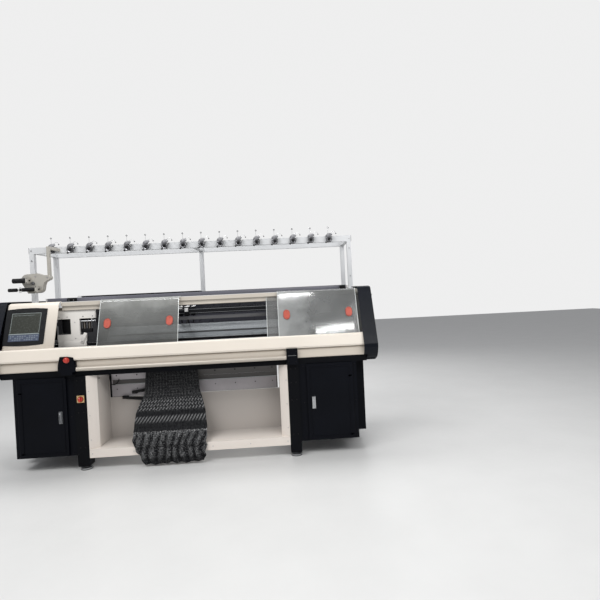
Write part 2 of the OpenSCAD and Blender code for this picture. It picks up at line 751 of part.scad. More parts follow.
// Clear covers: an upright foot in the track, the slope and the bent top
foot_z = fascia_top - 10;
cover_line = concat([[cover_foot, foot_z]], [slope_a], arc(bend_c, bend_r, 160, 92, 6), [[-222, cover_top]]);
inner_line = concat([[cover_foot + track_gap, foot_z], [cover_foot + track_gap, fascia_top]],
    arc(bend_c + [0, -24], 10, 160, 120, 3));
module front_cover(x0, w, line) {
    along_x(x0, x0 + w) polygon(sheet(line, -cover_t));
}
module front_cover_left() {
    color("#c9d6d8", 0.4) front_cover(cover_l0, cover_l_w, cover_line);
}
module front_cover_center() {
    color("#c9d6d8", 0.4) front_cover(cover_m0, cover_m_w, inner_line);
}
module front_cover_right() {
    color("#c9d6d8", 0.4) front_cover(cover_r0, cover_r_w, cover_line);
}
// Oval finger pulls on the outer face
module oval(l, w) {
    square([w, l - w], center = true);
    for (s = [-1, 1]) translate([0, s * (l - w) / 2]) circle(d = w);
}
handle_in = 66;
module handles(x0, w) {
    for (x = [x0 + handle_in, x0 + w - handle_in]) on_slope(x, slope_l / 2 - 2) translate([0, 0, seat]) linear_extrude(7) oval(76, 50);
}
module handles_left() {
    color("#d9482c") handles(cover_l0, cover_l_w);
}
module handles_right() {
    color("#e0512d") handles(cover_r0, cover_r_w);
}
track_x0 = console_x0 + console_w;
track_z = fascia_top - 24;
module cover_rails() {
    g = slide_clear;
    back = cover_foot + track_gap + cover_t + 4;
    color("#dedbd3") {
        // Lower track with a groove for each line of covers
        difference() {
            block([-end_in, -fascia_back + 0.3, track_z], [end_in, back, fascia_top]);
            for (y = [cover_foot, cover_foot + track_gap]) block([track_x0 + 1, y - g, foot_z - g],
                [end_in + 1, y + cover_t + g, fascia_top + 1]);
        }
        for (x = [-end_in, -700, -400, 200, 800, end_in - 60]) block([x, -rail_front + 6, groove_z + 10], [x + 60, back, track_z]);
        // Upper rail under the covers' bent tops
        block([track_x0, upper_y, upper_z], [end_in, console_back, cover_top - cover_t - g]);
        block([track_x0, console_back - 3, 1180], [end_in, console_back, upper_z]);
        // Rail under the rear covers' tops, on the side plates
        block([-plate_x - plate_t, 240, plate_top], [plate_x + plate_t, 262, rear_top - rear_inset - rear_t - g]);
    }
}

// Opaque covers at the rear, in two tracks, and the panel below them
rear_foot = 898;
rear_top = 1294;
rear_inset = 8;
rear_t = 3;
rear_left_x0 = -1060;
function rear_line(in) = concat([[412 - in, rear_foot], [412 - in, 960]],
    arc([300, rear_top - 40], 40 - in, 20, 88, 6), [[240, rear_top - in]]);
module rear_cover_left() {
    color("#c4c7c8") along_x(rear_left_x0, 10) polygon(sheet(rear_line(0), rear_t));
}
module rear_cover_right() {
    color("#9aa0a6") along_x(-6, plate_x - 4) polygon(sheet(rear_line(rear_inset), rear_t));
}
panel_y = rail_front - 2;
panel_t = 3.5;
module rear_panel() {
    color("#2a2c31") {
        block([-end_in, panel_y, beam_top], [end_in, panel_y + panel_t, rear_foot - 0.5]);
        block([-end_in, rail_front - rail_d, beam_top], [end_in, panel_y, beam_top + 4]);
        block([-end_in, panel_y - 16, rear_foot - 6], [end_in, rear_rail_y - 2, rear_foot - 0.5]);
    }
}

// Yarn stand of square tube
tube_w = 36;
rear_rail_y = half_d - tube_w;
module stand_frame() {
    rail_bot = stand_top - stand_h;
    base = 14;
    color("#dfe0df") {
        for (y = [stand_front, rear_rail_y]) block([-stand_half, y, rail_bot], [stand_half, y + tube_w, stand_top]);
        for (x = [-stand_half, -tube_w / 2, stand_half - tube_w]) {
            block([x, stand_front + tube_w, rail_bot + 6], [x + tube_w, rear_rail_y, stand_top - 6]);
            block([x, rear_rail_y, 752], [x + tube_w, rear_rail_y + tube_w, rail_bot]);
            block([x, panel_y + panel_t, 752], [x + tube_w, rear_rail_y, 812]);
        }
        // Front posts on the side plates
        for (s = [0, 1]) mirror([s, 0, 0]) {
            block([stand_half - tube_w, stand_front, plate_top + 6], [stand_half, stand_front + tube_w, rail_bot]);
            block([stand_half - tube_w - base, stand_front - base, plate_top], [stand_half, stand_front + tube_w + base, plate_top + 6]);
        }
    }
}
// Tension unit: body, disc, knob and the wire arm with its eyelet
tension_x0 = -(tension_n - 1) / 2 * tension_pitch;
module tensioner() {
    z = stand_top - stand_h / 2;
    y = stand_front;
    block([-17, y - 26, z - 30], [17, y, z + 30]);
    rod_y([0, y - 44, z - 4], 30, 8);
    rod_y([0, y - 52, z - 4], 11, 28);
    block([-9, y - 20, z + 30], [9, y - 4, z + 46]);
    translate([0, y - 12, z + 40]) cylinder(r = 1.5, h = 56);
    translate([0, y - 12, z + 96]) rotate([90, 0, 0]) rotate_extrude() translate([7, 0]) circle(r = 2);
}
module tensioners() {
    color("#c9cac8") for (i = [0 : tension_n - 1]) translate([tension_x0 + i * tension_pitch, 0, 0]) tensioner();
}

// Friction feeder at the left end, hung on a bent tube from the stand's front rail
box_x0 = -1318;
box_y0 = -140;
box_y1 = -92;
roller_hi_z = 1427;
roller_lo_z = 1356;
bearing_hi_x = -1258;
bearing_lo_x = -1190;
bearing_w = 16;
feed_y = -166;
hanger_x = -1108;
feed_shaft = 6;
module side_feeder() {
    tube = 22;
    mid_z = stand_top - stand_h / 2;
    hang_y = (box_y0 + box_y1) / 2;
    color("#a6a8a8") {
        along_y(box_y0, box_y1) polygon(concat(
            arc([box_x0 + 48, 1430], 48, 200, 90, 5), [[-1190, 1482], [-1152, 1466]],
            arc([-1114, 1446], 20, 90, -90, 5), [[-1140, 1412], [-1150, 1384]],
            arc([-1190, 1364], 36, -10, -90, 4), [[-1268, 1326]]));
        for (b = [[bearing_hi_x, roller_hi_z], [bearing_lo_x, roller_lo_z]]) difference() {
            block([b[0], feed_y - 24, b[1] - 24], [b[0] + bearing_w, box_y0, b[1] + 24]);
            rod_x([b[0] - 1, feed_y, b[1]], feed_shaft + run_clear, bearing_w + 2);
        }
        block([hanger_x - tube / 2, hang_y - tube / 2, 1440], [hanger_x + tube / 2, hang_y + tube / 2, mid_z + tube / 2]);
        block([hanger_x - tube / 2, hang_y + tube / 2, mid_z - tube / 2], [hanger_x + tube / 2, stand_front, mid_z + tube / 2]);
    }
}
// Roller of length l that ends just before its bearing at x
module feed_roller(x, z, r, l) {
    rod_x([x - 1 - l, feed_y, z], r, l);
    rod_x([x - 2, feed_y, z], feed_shaft, bearing_w + 8);
}
module feed_roller_upper() {
    color("#1a1a1c") feed_roller(bearing_hi_x, roller_hi_z, 19, 104);
}
module feed_roller_lower() {
    knob_l = 62;
    color("#1a1a1c") {
        feed_roller(bearing_lo_x, roller_lo_z, 15, 104);
        rod_x([bearing_lo_x - 210, feed_y, roller_lo_z], 14, knob_l);
        rod_x([bearing_lo_x - 150, feed_y, roller_lo_z], feed_shaft, 60);
        // White guide ring's hub on the shaft
        rod_x([bearing_lo_x - 128, feed_y, roller_lo_z], 11, 8);
    }
}

// Knitted piece: out of the rollers' gap, forward over the tray's lip
module knitted_fabric() {
    lip = -leg_front - 0.3;
    hem_z = 14;
    path = [[-3, 772], [-10, 735], [-60, 708], [-150, 686], [-176, 640], [-222, 500], [-300, 345], [-414, 172],
        [lip, 157], [lip, 100], [lip - 4, hem_z]];
    x1 = fabric_x0 + fabric_w;
    // Front view of the piece: it widens downwards and draws in at the hem
    front = [[fabric_x0 + 55, 780], [x1 - 115, 780], [x1 - 70, 500], [x1 - 45, 430], [x1 - 26, 365], [x1 - 5, 250],
        [x1, 160], [x1 - 10, 60], [x1 - 31, 10], [fabric_x0 + 99, 10], [fabric_x0 + 76, 60], [fabric_x0 + 9, 160],
        [fabric_x0, 250], [fabric_x0, 365], [fabric_x0 + 24, 430], [fabric_x0 + 54, 500]];
    color("#2c2e31") intersection() {
        along_x(fabric_x0, x1) polygon(sheet(path, -fabric_t));
        along_y(lip - 20, 10) polygon(front);
    }
}

left_pedestal();
right_pedestal();
levelling_feet();
base_beam();
left_cabinet();
right_cabinet();
left_door();
right_door();
left_latch();
right_latch();
center_liner();
lower_trim();
front_fascia();
start_bar();
estop_bracket();
bar_bracket();
estop_button();
switch_plate();
switch_knob();
console();
console_bezel();
screen();
left_end_cover();
right_end_cover();
side_plates();
bed_casting();
front_needle_bed();
rear_needle_bed();
guide_rails();
feeder_rails();
yarn_feeder_1();
yarn_feeder_2();
yarn_feeder_3();
yarn_feeder_4();
carriage_frame();
carriage_cover();
drive_belt();
drive_pulley();
idler_pulley();
drive_motor();
takedown_roller_front();
takedown_roller_rear();
takedown_bearings();
takedown_guard();
release_levers();
front_cover_left();
front_cover_center();
front_cover_right();
handles_left();
handles_right();
cover_rails();
rear_cover_left();
rear_cover_right();
rear_panel();
stand_frame();
tensioners();
side_feeder();
feed_roller_upper();
feed_roller_lower();
knitted_fabric();
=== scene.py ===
import bpy
import bmesh
import json
import math
from mathutils import Matrix, Vector, noise


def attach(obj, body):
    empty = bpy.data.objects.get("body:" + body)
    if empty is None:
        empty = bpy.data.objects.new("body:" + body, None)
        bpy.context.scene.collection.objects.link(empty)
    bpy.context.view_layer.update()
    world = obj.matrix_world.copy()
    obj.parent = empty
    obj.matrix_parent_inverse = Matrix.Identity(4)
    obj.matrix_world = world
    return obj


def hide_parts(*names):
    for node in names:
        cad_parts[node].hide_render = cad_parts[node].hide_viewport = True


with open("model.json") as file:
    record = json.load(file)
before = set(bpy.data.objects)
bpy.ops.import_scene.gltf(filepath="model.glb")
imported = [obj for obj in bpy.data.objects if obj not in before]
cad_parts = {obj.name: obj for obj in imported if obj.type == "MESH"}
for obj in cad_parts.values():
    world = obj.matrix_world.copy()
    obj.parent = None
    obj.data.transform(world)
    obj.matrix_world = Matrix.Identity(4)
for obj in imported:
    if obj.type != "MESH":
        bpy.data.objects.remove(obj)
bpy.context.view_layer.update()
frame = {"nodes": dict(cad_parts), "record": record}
nodes = frame["nodes"]
scene = bpy.context.scene
FRONT, BACK, UP = (0, -1, 0), (0, 1, 0), (0, 0, 1)
SIDES = (-1, 1)


def add_object(name, data):
    ob = bpy.data.objects.new(name, data)
    scene.collection.objects.link(ob)
    return ob


# Camera, fitted to the photograph
YAW, PITCH, ROLL = -3, -0.93, -2.7
cam_data = bpy.data.cameras.new("camera")
cam_data.sensor_width = 36
cam_data.lens = 26
cam = add_object("camera", cam_data)
cam.matrix_world = (Matrix.Translation((0.69, -3.67, 1.23)) @ Matrix.Rotation(math.radians(YAW), 4, 'Z')
                    @ Matrix.Rotation(math.radians(90 + PITCH), 4, 'X') @ Matrix.Rotation(math.radians(ROLL), 4, 'Z'))
scene.camera = cam


# Shape tools
def around(n, r=1.0, closed=False):
    """Even steps around a circle of radius r."""
    return [(r * math.cos(a), r * math.sin(a)) for a in [2 * math.pi * k / n for k in range(n + closed)]]


class Shape:
    """Collects simple forms in one mesh. Its frame m holds for the forms that follow."""

    def __init__(self, name=None, m=None):
        self.bm = bmesh.new()
        self.mats = []
        self.m = Matrix() if m is None else m
        if name:
            self.use(name)

    def at(self, *origin):
        """Moves the frame to an origin."""
        self.m = Matrix.Translation(origin)
        return self

    def use(self, name):
        """Chooses the material of the forms that follow."""
        if MAT[name] not in self.mats:
            self.mats.append(MAT[name])
        self.current = self.mats.index(MAT[name])
        return self

    def vert(self, p):
        return self.bm.verts.new(self.m @ Vector(p))

    def face(self, corners):
        self.bm.faces.new(corners).material_index = self.current

    def skin(self, rings, closed=True):
        """Faces between rings of points. A ring can be a single point."""
        for a, b in zip(rings, rings[1:]):
            for i in range(1 - closed, max(len(a), len(b))):
                corners = (a[(i - 1) % len(a)], a[i % len(a)], b[i % len(b)], b[(i - 1) % len(b)])
                self.face(list(dict.fromkeys(corners)))
        return self

    def box(self, lo, hi, r=0.0, seg=2):
        """A box between two opposite corners, with edges of radius r."""
        verts = bmesh.ops.create_cube(self.bm, size=1.0)["verts"]
        for v in verts:
            v.co = self.m @ Vector([(a + b) / 2 + c * abs(b - a) for a, b, c in zip(lo, hi, v.co)])
            for f in v.link_faces:
                f.material_index = self.current
        if r:
            edges = list({e for v in verts for e in v.link_edges})
            bmesh.ops.bevel(self.bm, geom=edges, offset=r, segments=seg, affect='EDGES', profile=0.5,
                            clamp_overlap=True, material=self.current)
        return self

    def turned(self, profile, origin, axis, seg=32):
        """A turned form: (radius, height) pairs along the axis from the origin."""
        q = Vector(UP).rotation_difference(Vector(axis).normalized())
        rings = []
        for r, h in profile:
            steps = around(seg, r) if r > 0 else [(0, 0)]
            rings.append([self.vert(Vector(origin) + q @ Vector((x, y, h))) for x, y in steps])
        return self.skin(rings)

    def screws(self, points, axis, r=0.005, h=0.003):
        """Socket screws' heads."""
        for p in points:
            self.turned([(0, h * 0.35), (r * 0.5, h * 0.35), (r * 0.5, h), (r * 0.85, h), (r, h * 0.7), (r, 0)],
                        p, axis, 14)
        return self

    def bolts(self, points, axis):
        """Hexagon bolts' heads."""
        for p in points:
            self.turned([(0, 0.005), (0.0055, 0.005), (0.0065, 0.004), (0.0065, 0), (0, 0)], p, axis, 6)
        return self

    def prism(self, outline, d0, d1, plane="yz"):
        """An outline in the plane yz or xz, stretched along the third axis."""
        a, b = [[self.vert((d, *p) if plane == "yz" else (p[0], d, p[1])) for p in outline] for d in (d0, d1)]
        self.face(a[::-1])
        self.face(b)
        return self.skin([a, b])

    def tube(self, pts, r, seg=8, cap=True):
        """A round wire along points."""
        pts = [Vector(p) for p in pts]
        rings = []
        side = None
        for i, p in enumerate(pts):
            t = (pts[min(i + 1, len(pts) - 1)] - pts[max(i - 1, 0)]).normalized()
            if side is None:
                side = t.cross(Vector(UP if abs(t.z) < 0.9 else BACK))
            side = (side - t * side.dot(t)).normalized()
            rings.append([self.vert(p + x * side + y * t.cross(side)) for x, y in around(seg, r)])
        if cap:
            self.face(rings[0][::-1])
            self.face(rings[-1])
        return self.skin(rings)

    def done(self, name, slot, body="machine", smooth=32.0):
        bmesh.ops.recalc_face_normals(self.bm, faces=self.bm.faces)
        me = bpy.data.meshes.new(name)
        self.bm.to_mesh(me)
        self.bm.free()
        for mat in self.mats:
            me.materials.append(mat)
        me.shade_smooth()
        me.set_sharp_from_angle(angle=math.radians(smooth))
        ob = add_object(name, me)
        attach(ob, body)
        return ob


def smooth_path(pts, steps):
    """Catmull-Rom points through the given ones."""
    pts = [Vector(p) for p in pts]
    out = []
    for i in range(len(pts) - 1):
        p0, p1, p2, p3 = pts[max(i - 1, 0)], pts[i], pts[i + 1], pts[min(i + 2, len(pts) - 1)]
        for k in range(steps):
            t = k / steps
            out.append(0.5 * ((2 * p1) + (p2 - p0) * t + (2 * p0 - 5 * p1 + 4 * p2 - p3) * t * t
                              + (3 * p1 - p0 - 3 * p2 + p3) * t ** 3))
    return out + [pts[-1]]


# Material tools
MAT = {}


def new_mat(name):
    m = bpy.data.materials.new(name)
    m.use_nodes = True
    MAT[name] = m
    return m.node_tree, m.node_tree.nodes["Principled BSDF"]


def feed(nt, n, inputs):
    """Links sockets to a node's inputs, or sets values on them."""
    for key, value in inputs.items():
        if isinstance(value, bpy.types.NodeSocket):
            nt.links.new(value, n.inputs[key])
        else:
            n.inputs[key].default_value = value


def node(nt, kind, inputs=None, out=0, **settings):
    """Adds a shader node and returns one of its outputs."""
    n = nt.nodes.new(kind)
    for key, value in settings.items():
        setattr(n, key, value)
    feed(nt, n, inputs or {})
    return n.outputs[out]


def calc(nt, op, *values, clamp=False):
    return node(nt, "ShaderNodeMath", dict(enumerate(values)), operation=op, use_clamp=clamp)


def coords(nt, scale=(1, 1, 1)):
    place = node(nt, "ShaderNodeTexCoord", out="Object")
    return node(nt, "ShaderNodeMapping", {"Vector": place, "Scale": scale})


def noise_tex(nt, vec, scale, detail=4.0, rough=0.55):
    return node(nt, "ShaderNodeTexNoise", {"Vector": vec, "Scale": scale, "Detail": detail, "Roughness": rough}, "Fac")


def ramp(nt, fac, stops):
    color = node(nt, "ShaderNodeValToRGB", {"Fac": fac}, "Color")
    el = color.node.color_ramp.elements
    el[0].position, el[0].color = stops[0][0], (*stops[0][1], 1)
    el[1].position, el[1].color = stops[-1][0], (*stops[-1][1], 1)
    for pos, col in stops[1:-1]:
        el.new(pos).color = (*col, 1)
    return color


def maprange(nt, fac, lo, hi, a=0.0, b=1.0):
    """Maps a...b to lo...hi."""
    return node(nt, "ShaderNodeMapRange", {"Value": fac, "From Min": a, "From Max": b, "To Min": lo, "To Max": hi})


def bump(nt, bsdf, height, strength, distance, under=None):
    """Relief on the shader, over the relief under it if there is one."""
    inputs = {"Height": height, "Strength": strength, "Distance": distance}
    if under is not None:
        inputs["Normal"] = under
    normal = node(nt, "ShaderNodeBump", inputs, "Normal")
    feed(nt, bsdf, {"Normal": normal})
    return normal


def mix(nt, fac, a, b):
    """Blends two colours."""
    a, b = [(*c, 1) if isinstance(c, tuple) else c for c in (a, b)]
    return node(nt, "ShaderNodeMix", {0: fac, 6: a, 7: b}, 2, data_type='RGBA')


def shade(c, k):
    return tuple(max(0, min(1, x * k)) for x in c)


def surface(name, base, rough=0.45, metal=0.0, var=0.08, var_scale=3.0, grain=0.1, grain_scale=900.0, coat=0.0,
            dust=0.0, stretch=(1, 1, 1), spec=0.5, dust_tone=(0.42, 0.41, 0.39)):
    """Paint, moulded plastic or metal with slow tone changes, a fine grain and uneven gloss."""
    nt, bsdf = new_mat(name)
    vec = coords(nt, stretch)
    col = ramp(nt, noise_tex(nt, vec, var_scale, 5), [(0.3, shade(base, 1 - var)), (0.72, shade(base, 1 + var))])
    if dust:
        normal = node(nt, "ShaderNodeNewGeometry", out="Normal")
        up = maprange(nt, node(nt, "ShaderNodeSeparateXYZ", {0: normal}, "Z"), 0, dust, 0.35, 1)
        specks = maprange(nt, noise_tex(nt, vec, 60, 6, 0.7), 0.2, 1, 0.35, 0.7)
        col = mix(nt, calc(nt, 'MULTIPLY', up, specks), col, dust_tone)
    fine = noise_tex(nt, vec, var_scale * 9, 6, 0.65)
    gloss = maprange(nt, fine, max(0.02, rough - 0.08), min(1, rough + 0.08), 0.25, 0.75)
    feed(nt, bsdf, {"Base Color": col, "Roughness": gloss, "Metallic": metal, "Specular IOR Level": spec})
    if coat:
        feed(nt, bsdf, {"Coat Weight": coat, "Coat Roughness": 0.12})
    if grain:
        bump(nt, bsdf, noise_tex(nt, vec, grain_scale, 2), grain, 0.0002)


def brushed(name, base, rough=0.32, along=(1, 60, 60), var=0.1):
    """Ground or brushed metal with fine lines along one axis."""
    nt, bsdf = new_mat(name)
    lines = noise_tex(nt, coords(nt, along), 14, 6, 0.7)
    col = ramp(nt, lines, [(0.25, shade(base, 1 - var)), (0.75, shade(base, 1 + var))])
    gloss = maprange(nt, lines, rough - 0.08, rough + 0.12, 0.2, 0.8)
    feed(nt, bsdf, {"Base Color": col, "Roughness": gloss, "Metallic": 0.9})
    bump(nt, bsdf, lines, 0.08, 0.0003)


def clear_sheet(name, body=(0.27, 0.275, 0.265), haze=0.42, axis="Z", fade=()):
    """Clear plastic sheet: see-through, a little hazy, glossy at a slant.
    fade gives how pale its colour is at places along the axis, in metres; on the right cover it is a painted
    reflection."""
    nt, bsdf = new_mat(name)
    vec = coords(nt)
    sheet_tone = (*body, 1)
    # The fade ramp paints the colour paler and darker along the axis; on the right cover this is a painted reflection
    if fade:
        lo, hi = fade[0][0], fade[-1][0]
        place = maprange(nt, node(nt, "ShaderNodeSeparateXYZ", {0: vec}, axis), 0, 1, lo, hi)
        uneven = maprange(nt, noise_tex(nt, vec, 7, 3), -0.14, 0.14, 0.3, 0.7)
        sheet_tone = ramp(nt, calc(nt, 'ADD', place, uneven), [((p - lo) / (hi - lo), shade(body, k)) for p, k in fade])
    scuff = noise_tex(nt, coords(nt, (1, 6, 6)), 5, 8, 0.7)
    feed(nt, bsdf, {"Base Color": sheet_tone, "Roughness": maprange(nt, scuff, 0.03, 0.16, 0.3, 0.8),
                    "Specular IOR Level": 0.6})
    bump(nt, bsdf, noise_tex(nt, vec, 2.5, 2), 0.25, 0.004)
    clear = node(nt, "ShaderNodeBsdfTransparent", {"Color": (0.8, 0.8, 0.795, 1)})
    slant = maprange(nt, node(nt, "ShaderNodeFresnel", {"IOR": 1.5}), haze, 1, 0.04, 1)
    dirt = maprange(nt, noise_tex(nt, vec, 3, 6, 0.6), 0, haze * 0.45, 0.45, 0.75)
    seen = calc(nt, 'ADD', slant, dirt, clamp=True)
    mixed = node(nt, "ShaderNodeMixShader", {0: seen, 1: clear, 2: bsdf.outputs[0]})
    feed(nt, nt.nodes["Material Output"], {"Surface": mixed})


# Materials of the record's slots
surface("black_frame", (0.0024, 0.0028, 0.0042), 0.5, var=0.25, grain=0.25, dust=0.1, spec=0.1,
        dust_tone=(0.1, 0.1, 0.1))
surface("dark_casting", (0.088, 0.083, 0.08), 0.55, var=0.15, grain=0.5, grain_scale=500, dust=0.1)
brushed("zinc_steel", (0.5, 0.51, 0.52), 0.36, (8, 8, 8), 0.14)
surface("cabinet_paint", (0.0022, 0.0028, 0.0052), 0.5, var=0.22, grain=0.35, grain_scale=1400, dust=0.1, spec=0.1,
        dust_tone=(0.06, 0.06, 0.06))
surface("liner_paint", (0.77, 0.705, 0.645), 0.42, var=0.05, var_scale=1.6, dust=0.12)
surface("cream_trim", (0.62, 0.555, 0.475), 0.36, var=0.04, var_scale=1.5, coat=0.15)
surface("cream_shell", (0.76, 0.695, 0.61), 0.34, var=0.035, var_scale=1.5, coat=0.18)
surface("bar_aluminium", (0.5, 0.455, 0.395), 0.34, metal=0.2, var=0.05, stretch=(1, 20, 20))
surface("black_plastic", (0.006, 0.006, 0.007), 0.45, var=0.2, grain=0.5, grain_scale=1500, spec=0.2)
surface("red_plastic", (0.5, 0.04, 0.026), 0.32, coat=0.2)
surface("yellow_plate", (0.62, 0.4, 0.17), 0.42)
surface("bezel_black", (0.0065, 0.007, 0.008), 0.22, var=0.15, grain=0.04, coat=0.15, spec=0.35)
surface("end_cover_plastic", (0.0036, 0.005, 0.009), 0.36, var=0.18, grain=0.35, grain_scale=1200, dust=0.06,
        spec=0.16, dust_tone=(0.06, 0.06, 0.07))
brushed("plate_steel", (0.42, 0.43, 0.45), 0.4, (20, 20, 3))
brushed("bed_steel", (0.2, 0.215, 0.225), 0.42)
brushed("rail_steel", (0.52, 0.53, 0.54), 0.3)
surface("feeder_rail_black", (0.006, 0.0065, 0.0085), 0.34, var=0.2, spec=0.3)
surface("carriage_grey", (0.022, 0.023, 0.026), 0.45, var=0.15, grain=0.4, grain_scale=600)
surface("carriage_white", (0.82, 0.79, 0.745), 0.34, var=0.04, grain=0.15)
surface("belt_rubber", (0.016, 0.016, 0.018), 0.75, var=0.2, grain=0.4)
brushed("pulley_alloy", (0.58, 0.59, 0.61), 0.3, (30, 30, 30))
surface("roller_rubber", (0.012, 0.012, 0.014), 0.6, var=0.2, grain=0.6, grain_scale=300)
surface("orange_plastic", (0.46, 0.06, 0.028), 0.42, var=0.14, var_scale=30, grain=0.2)
surface("rail_white", (0.72, 0.71, 0.68), 0.34, metal=0.15, var=0.05)
surface("rear_smoke", (0.05, 0.05, 0.062), 0.3, var=0.06, dust=0.15)
surface("stand_white", (0.66, 0.67, 0.68), 0.36, var=0.05, grain=0.12, dust=0.12)
brushed("tension_metal", (0.66, 0.66, 0.67), 0.22, (40, 40, 40), 0.12)
surface("feeder_grey", (0.46, 0.44, 0.395), 0.42, metal=0.2, grain=0.4)
clear_sheet("clear_cover", fade=((0.93, 0.5), (1.07, 0.95), (1.17, 1.35), (1.24, 1.9)))
surface("screen_glass", (0.035, 0.045, 0.042), 0.12, var=0.06, grain=0, coat=0.8)
surface("knitted_yarn", (0.03, 0.032, 0.036), 0.9, var=0.2, grain=0.8, grain_scale=300)

# Materials of single nodes and of the scene's own pieces
clear_sheet("clear_inner", body=(0.34, 0.345, 0.34), haze=0.28)
# The right cover's fade is a painted reflection, paler towards its left
clear_sheet("clear_right", body=(0.4, 0.41, 0.405), haze=0.44, axis="X",
            fade=((0.7, 1.35), (0.86, 1), (0.98, 0.62), (1.3, 0.5)))
brushed("latch_dark", (0.22, 0.225, 0.235), 0.4, (8, 8, 8), 0.14)
surface("edge_clear", (0.6, 0.62, 0.61), 0.18, var=0.05, grain=0.05, coat=0.3)
surface("ceramic", (0.86, 0.86, 0.84), 0.2, var=0.03, grain=0.03, coat=0.4)
brushed("screw_steel", (0.48, 0.48, 0.49), 0.3, (60, 60, 60))
# Matte dark sheet: painted shade in the rear pulls' hollows
surface("painted_hollow_shade", (0.01, 0.01, 0.012), 0.8, var=0.1, grain=0.2)
surface("orange_rim", (0.34, 0.042, 0.022), 0.4, var=0.06)
surface("unit_grey", (0.17, 0.17, 0.18), 0.38, var=0.12, grain=0.3, dust=0.1)
brushed("disc_dark", (0.2, 0.2, 0.21), 0.3, (50, 50, 50), 0.2)
surface("display_dark", (0.034, 0.037, 0.03), 0.26, var=0.12, var_scale=9, grain=0, coat=0.15, spec=0.35)
surface("display_line", (0.3, 0.34, 0.34), 0.3, grain=0)
surface("keypad_blue", (0.05, 0.066, 0.11), 0.36, grain=0.05)
surface("key_mark", (0.17, 0.2, 0.24), 0.4, grain=0.05)
# Brown of the actuators' coils; the same colour paints the shadow under the upper rail
surface("brown_and_painted_shadow", (0.13, 0.115, 0.1), 0.7, var=0.15, grain=0.4)
brushed("needle_steel", (0.36, 0.37, 0.38), 0.3, (4, 60, 60), 0.15)
surface("groove_dark", (0.02, 0.021, 0.023), 0.5, metal=0.3, var=0.15, grain=0.2)
surface("lamp_white", (0.84, 0.84, 0.83), 0.3, var=0.03, grain=0.05)
surface("guide_grey", (0.16, 0.16, 0.165), 0.4, metal=0.3, var=0.1, grain=0.2)
surface("guard_lilac", (0.44, 0.415, 0.43), var=0.12, var_scale=5, grain=0.2)
surface("apron_beige", (0.58, 0.53, 0.46), 0.4, var=0.06, grain=0.15)
surface("band_lilac", (0.155, 0.155, 0.185), 0.38, grain=0.15)

# Painted shade: the liner's colour gets darker towards its back, deep inside the machine where shade falls
tree = MAT["liner_paint"].node_tree
paint = tree.nodes["Principled BSDF"]
painted_shade_depth = maprange(tree, node(tree, "ShaderNodeSeparateXYZ", {0: coords(tree)}, "Y"), 0, 1, -0.4, -0.17)
unshaded_liner = paint.inputs["Base Color"].links[0].from_socket
feed(tree, paint, {"Base Color": mix(tree, painted_shade_depth, unshaded_liner, (0.44, 0.405, 0.375))})


def paint_node(name, key):
    """Gives a carried-over node one material."""
    ob = nodes[name]
    for slot in ob.material_slots:
        slot.material = MAT[key]
    if not ob.data.materials:
        ob.data.materials.append(MAT[key])


for entry in frame["record"]["subparts"]:
    paint_node(entry["node"], entry["material_slot"])
paint_node("front_cover_center", "clear_inner")
paint_node("front_cover_right", "clear_right")
paint_node("left_latch", "latch_dark")


def soften(names, width, segments=2, angle=40):
    """Rounds the sharp edges of carried-over nodes."""
    for name in names:
        b = nodes[name].modifiers.new("soft_edges", 'BEVEL')
        b.width = width
        b.segments = segments
        b.limit_method = 'ANGLE'
        b.angle_limit = math.radians(angle)


soften(["left_pedestal", "right_pedestal", "base_beam", "left_cabinet", "right_cabinet", "stand_frame", "side_feeder",
        "left_door", "right_door", "estop_bracket", "bar_bracket"], 0.0015)
soften(["carriage_cover"], 0.006, 4)
soften(["console_bezel"], 0.0016, 2, 30)
soften(["switch_knob", "switch_plate"], 0.001)
soften(["left_end_cover", "right_end_cover"], 0.004, 3, 50)


# Sizes that several pieces share (metres)
SPAN = 1.318            # half the length between the end plates
LEG_X = 0.783           # middle of a pedestal
LEG_FACE = -0.4221      # screw heads' plane on a pedestal
PLATE_FACE = -0.4521    # the same on the brackets below the fascia
GUARD_LOW, GUARD_HIGH = -0.1421, -0.1461    # the same on the guard's two steps
DRIVE_X, DRIVE_Z = 1.272, 0.832
FASCIA_TOP, COVER_TOP = 0.91, 1.25
BEND, BEND_R = (-0.252, 1.22), 0.03


def arc(center, r, a0, a1, n):
    """Points (y, z) on an arc, between angles in degrees."""
    angles = [math.radians(a0 + (a1 - a0) * i / n) for i in range(n + 1)]
    return [(center[0] + r * math.cos(a), center[1] + r * math.sin(a)) for a in angles]


SLOPE_A = Vector((0, -0.394, FASCIA_TOP))
SLOPE_B = Vector((0, *arc(BEND, BEND_R, 160, 90, 8)[0]))
SLOPE_L = (SLOPE_B - SLOPE_A).length
SLOPE_U = (SLOPE_B - SLOPE_A).normalized()
SLOPE_N = Vector((0, -SLOPE_U.z, SLOPE_U.y))


def local(x, origin, up, out):
    """Local frame: X along the machine, Y along up, Z along out."""
    return Matrix(((1, 0, 0, x), (0, up.y, out.y, origin.y), (0, up.z, out.z, origin.z), (0, 0, 0, 1)))


def on_slope(x, along=0.0):
    """Frame on the sloping front, with Y up the slope and Z out of it."""
    return local(x, SLOPE_A + along * SLOPE_U, SLOPE_U, SLOPE_N)


# Console shell: an open bent sheet with rounded sides and a wall at the left
CONSOLE_X0, CONSOLE_X1, CONSOLE_BACK, CONSOLE_FOOT = -1.35, -0.97, -0.232, FASCIA_TOP + 0.0005


def console_ring(x, w):
    """The shell's side view at x, moved inwards by w."""
    pts = [(SLOPE_A.y + w * (1 + SLOPE_U.y) / SLOPE_U.z, CONSOLE_FOOT)]
    pts += arc(BEND, BEND_R - w, 160, 90, 8) + [(CONSOLE_BACK, COVER_TOP - w)]
    return [(x, y, z) for y, z in pts]


def round_edge(r):
    """Steps round an edge: how far from the end, and how far inwards."""
    return [(r - c, r - s) for c, s in around(24, r)[:7]]


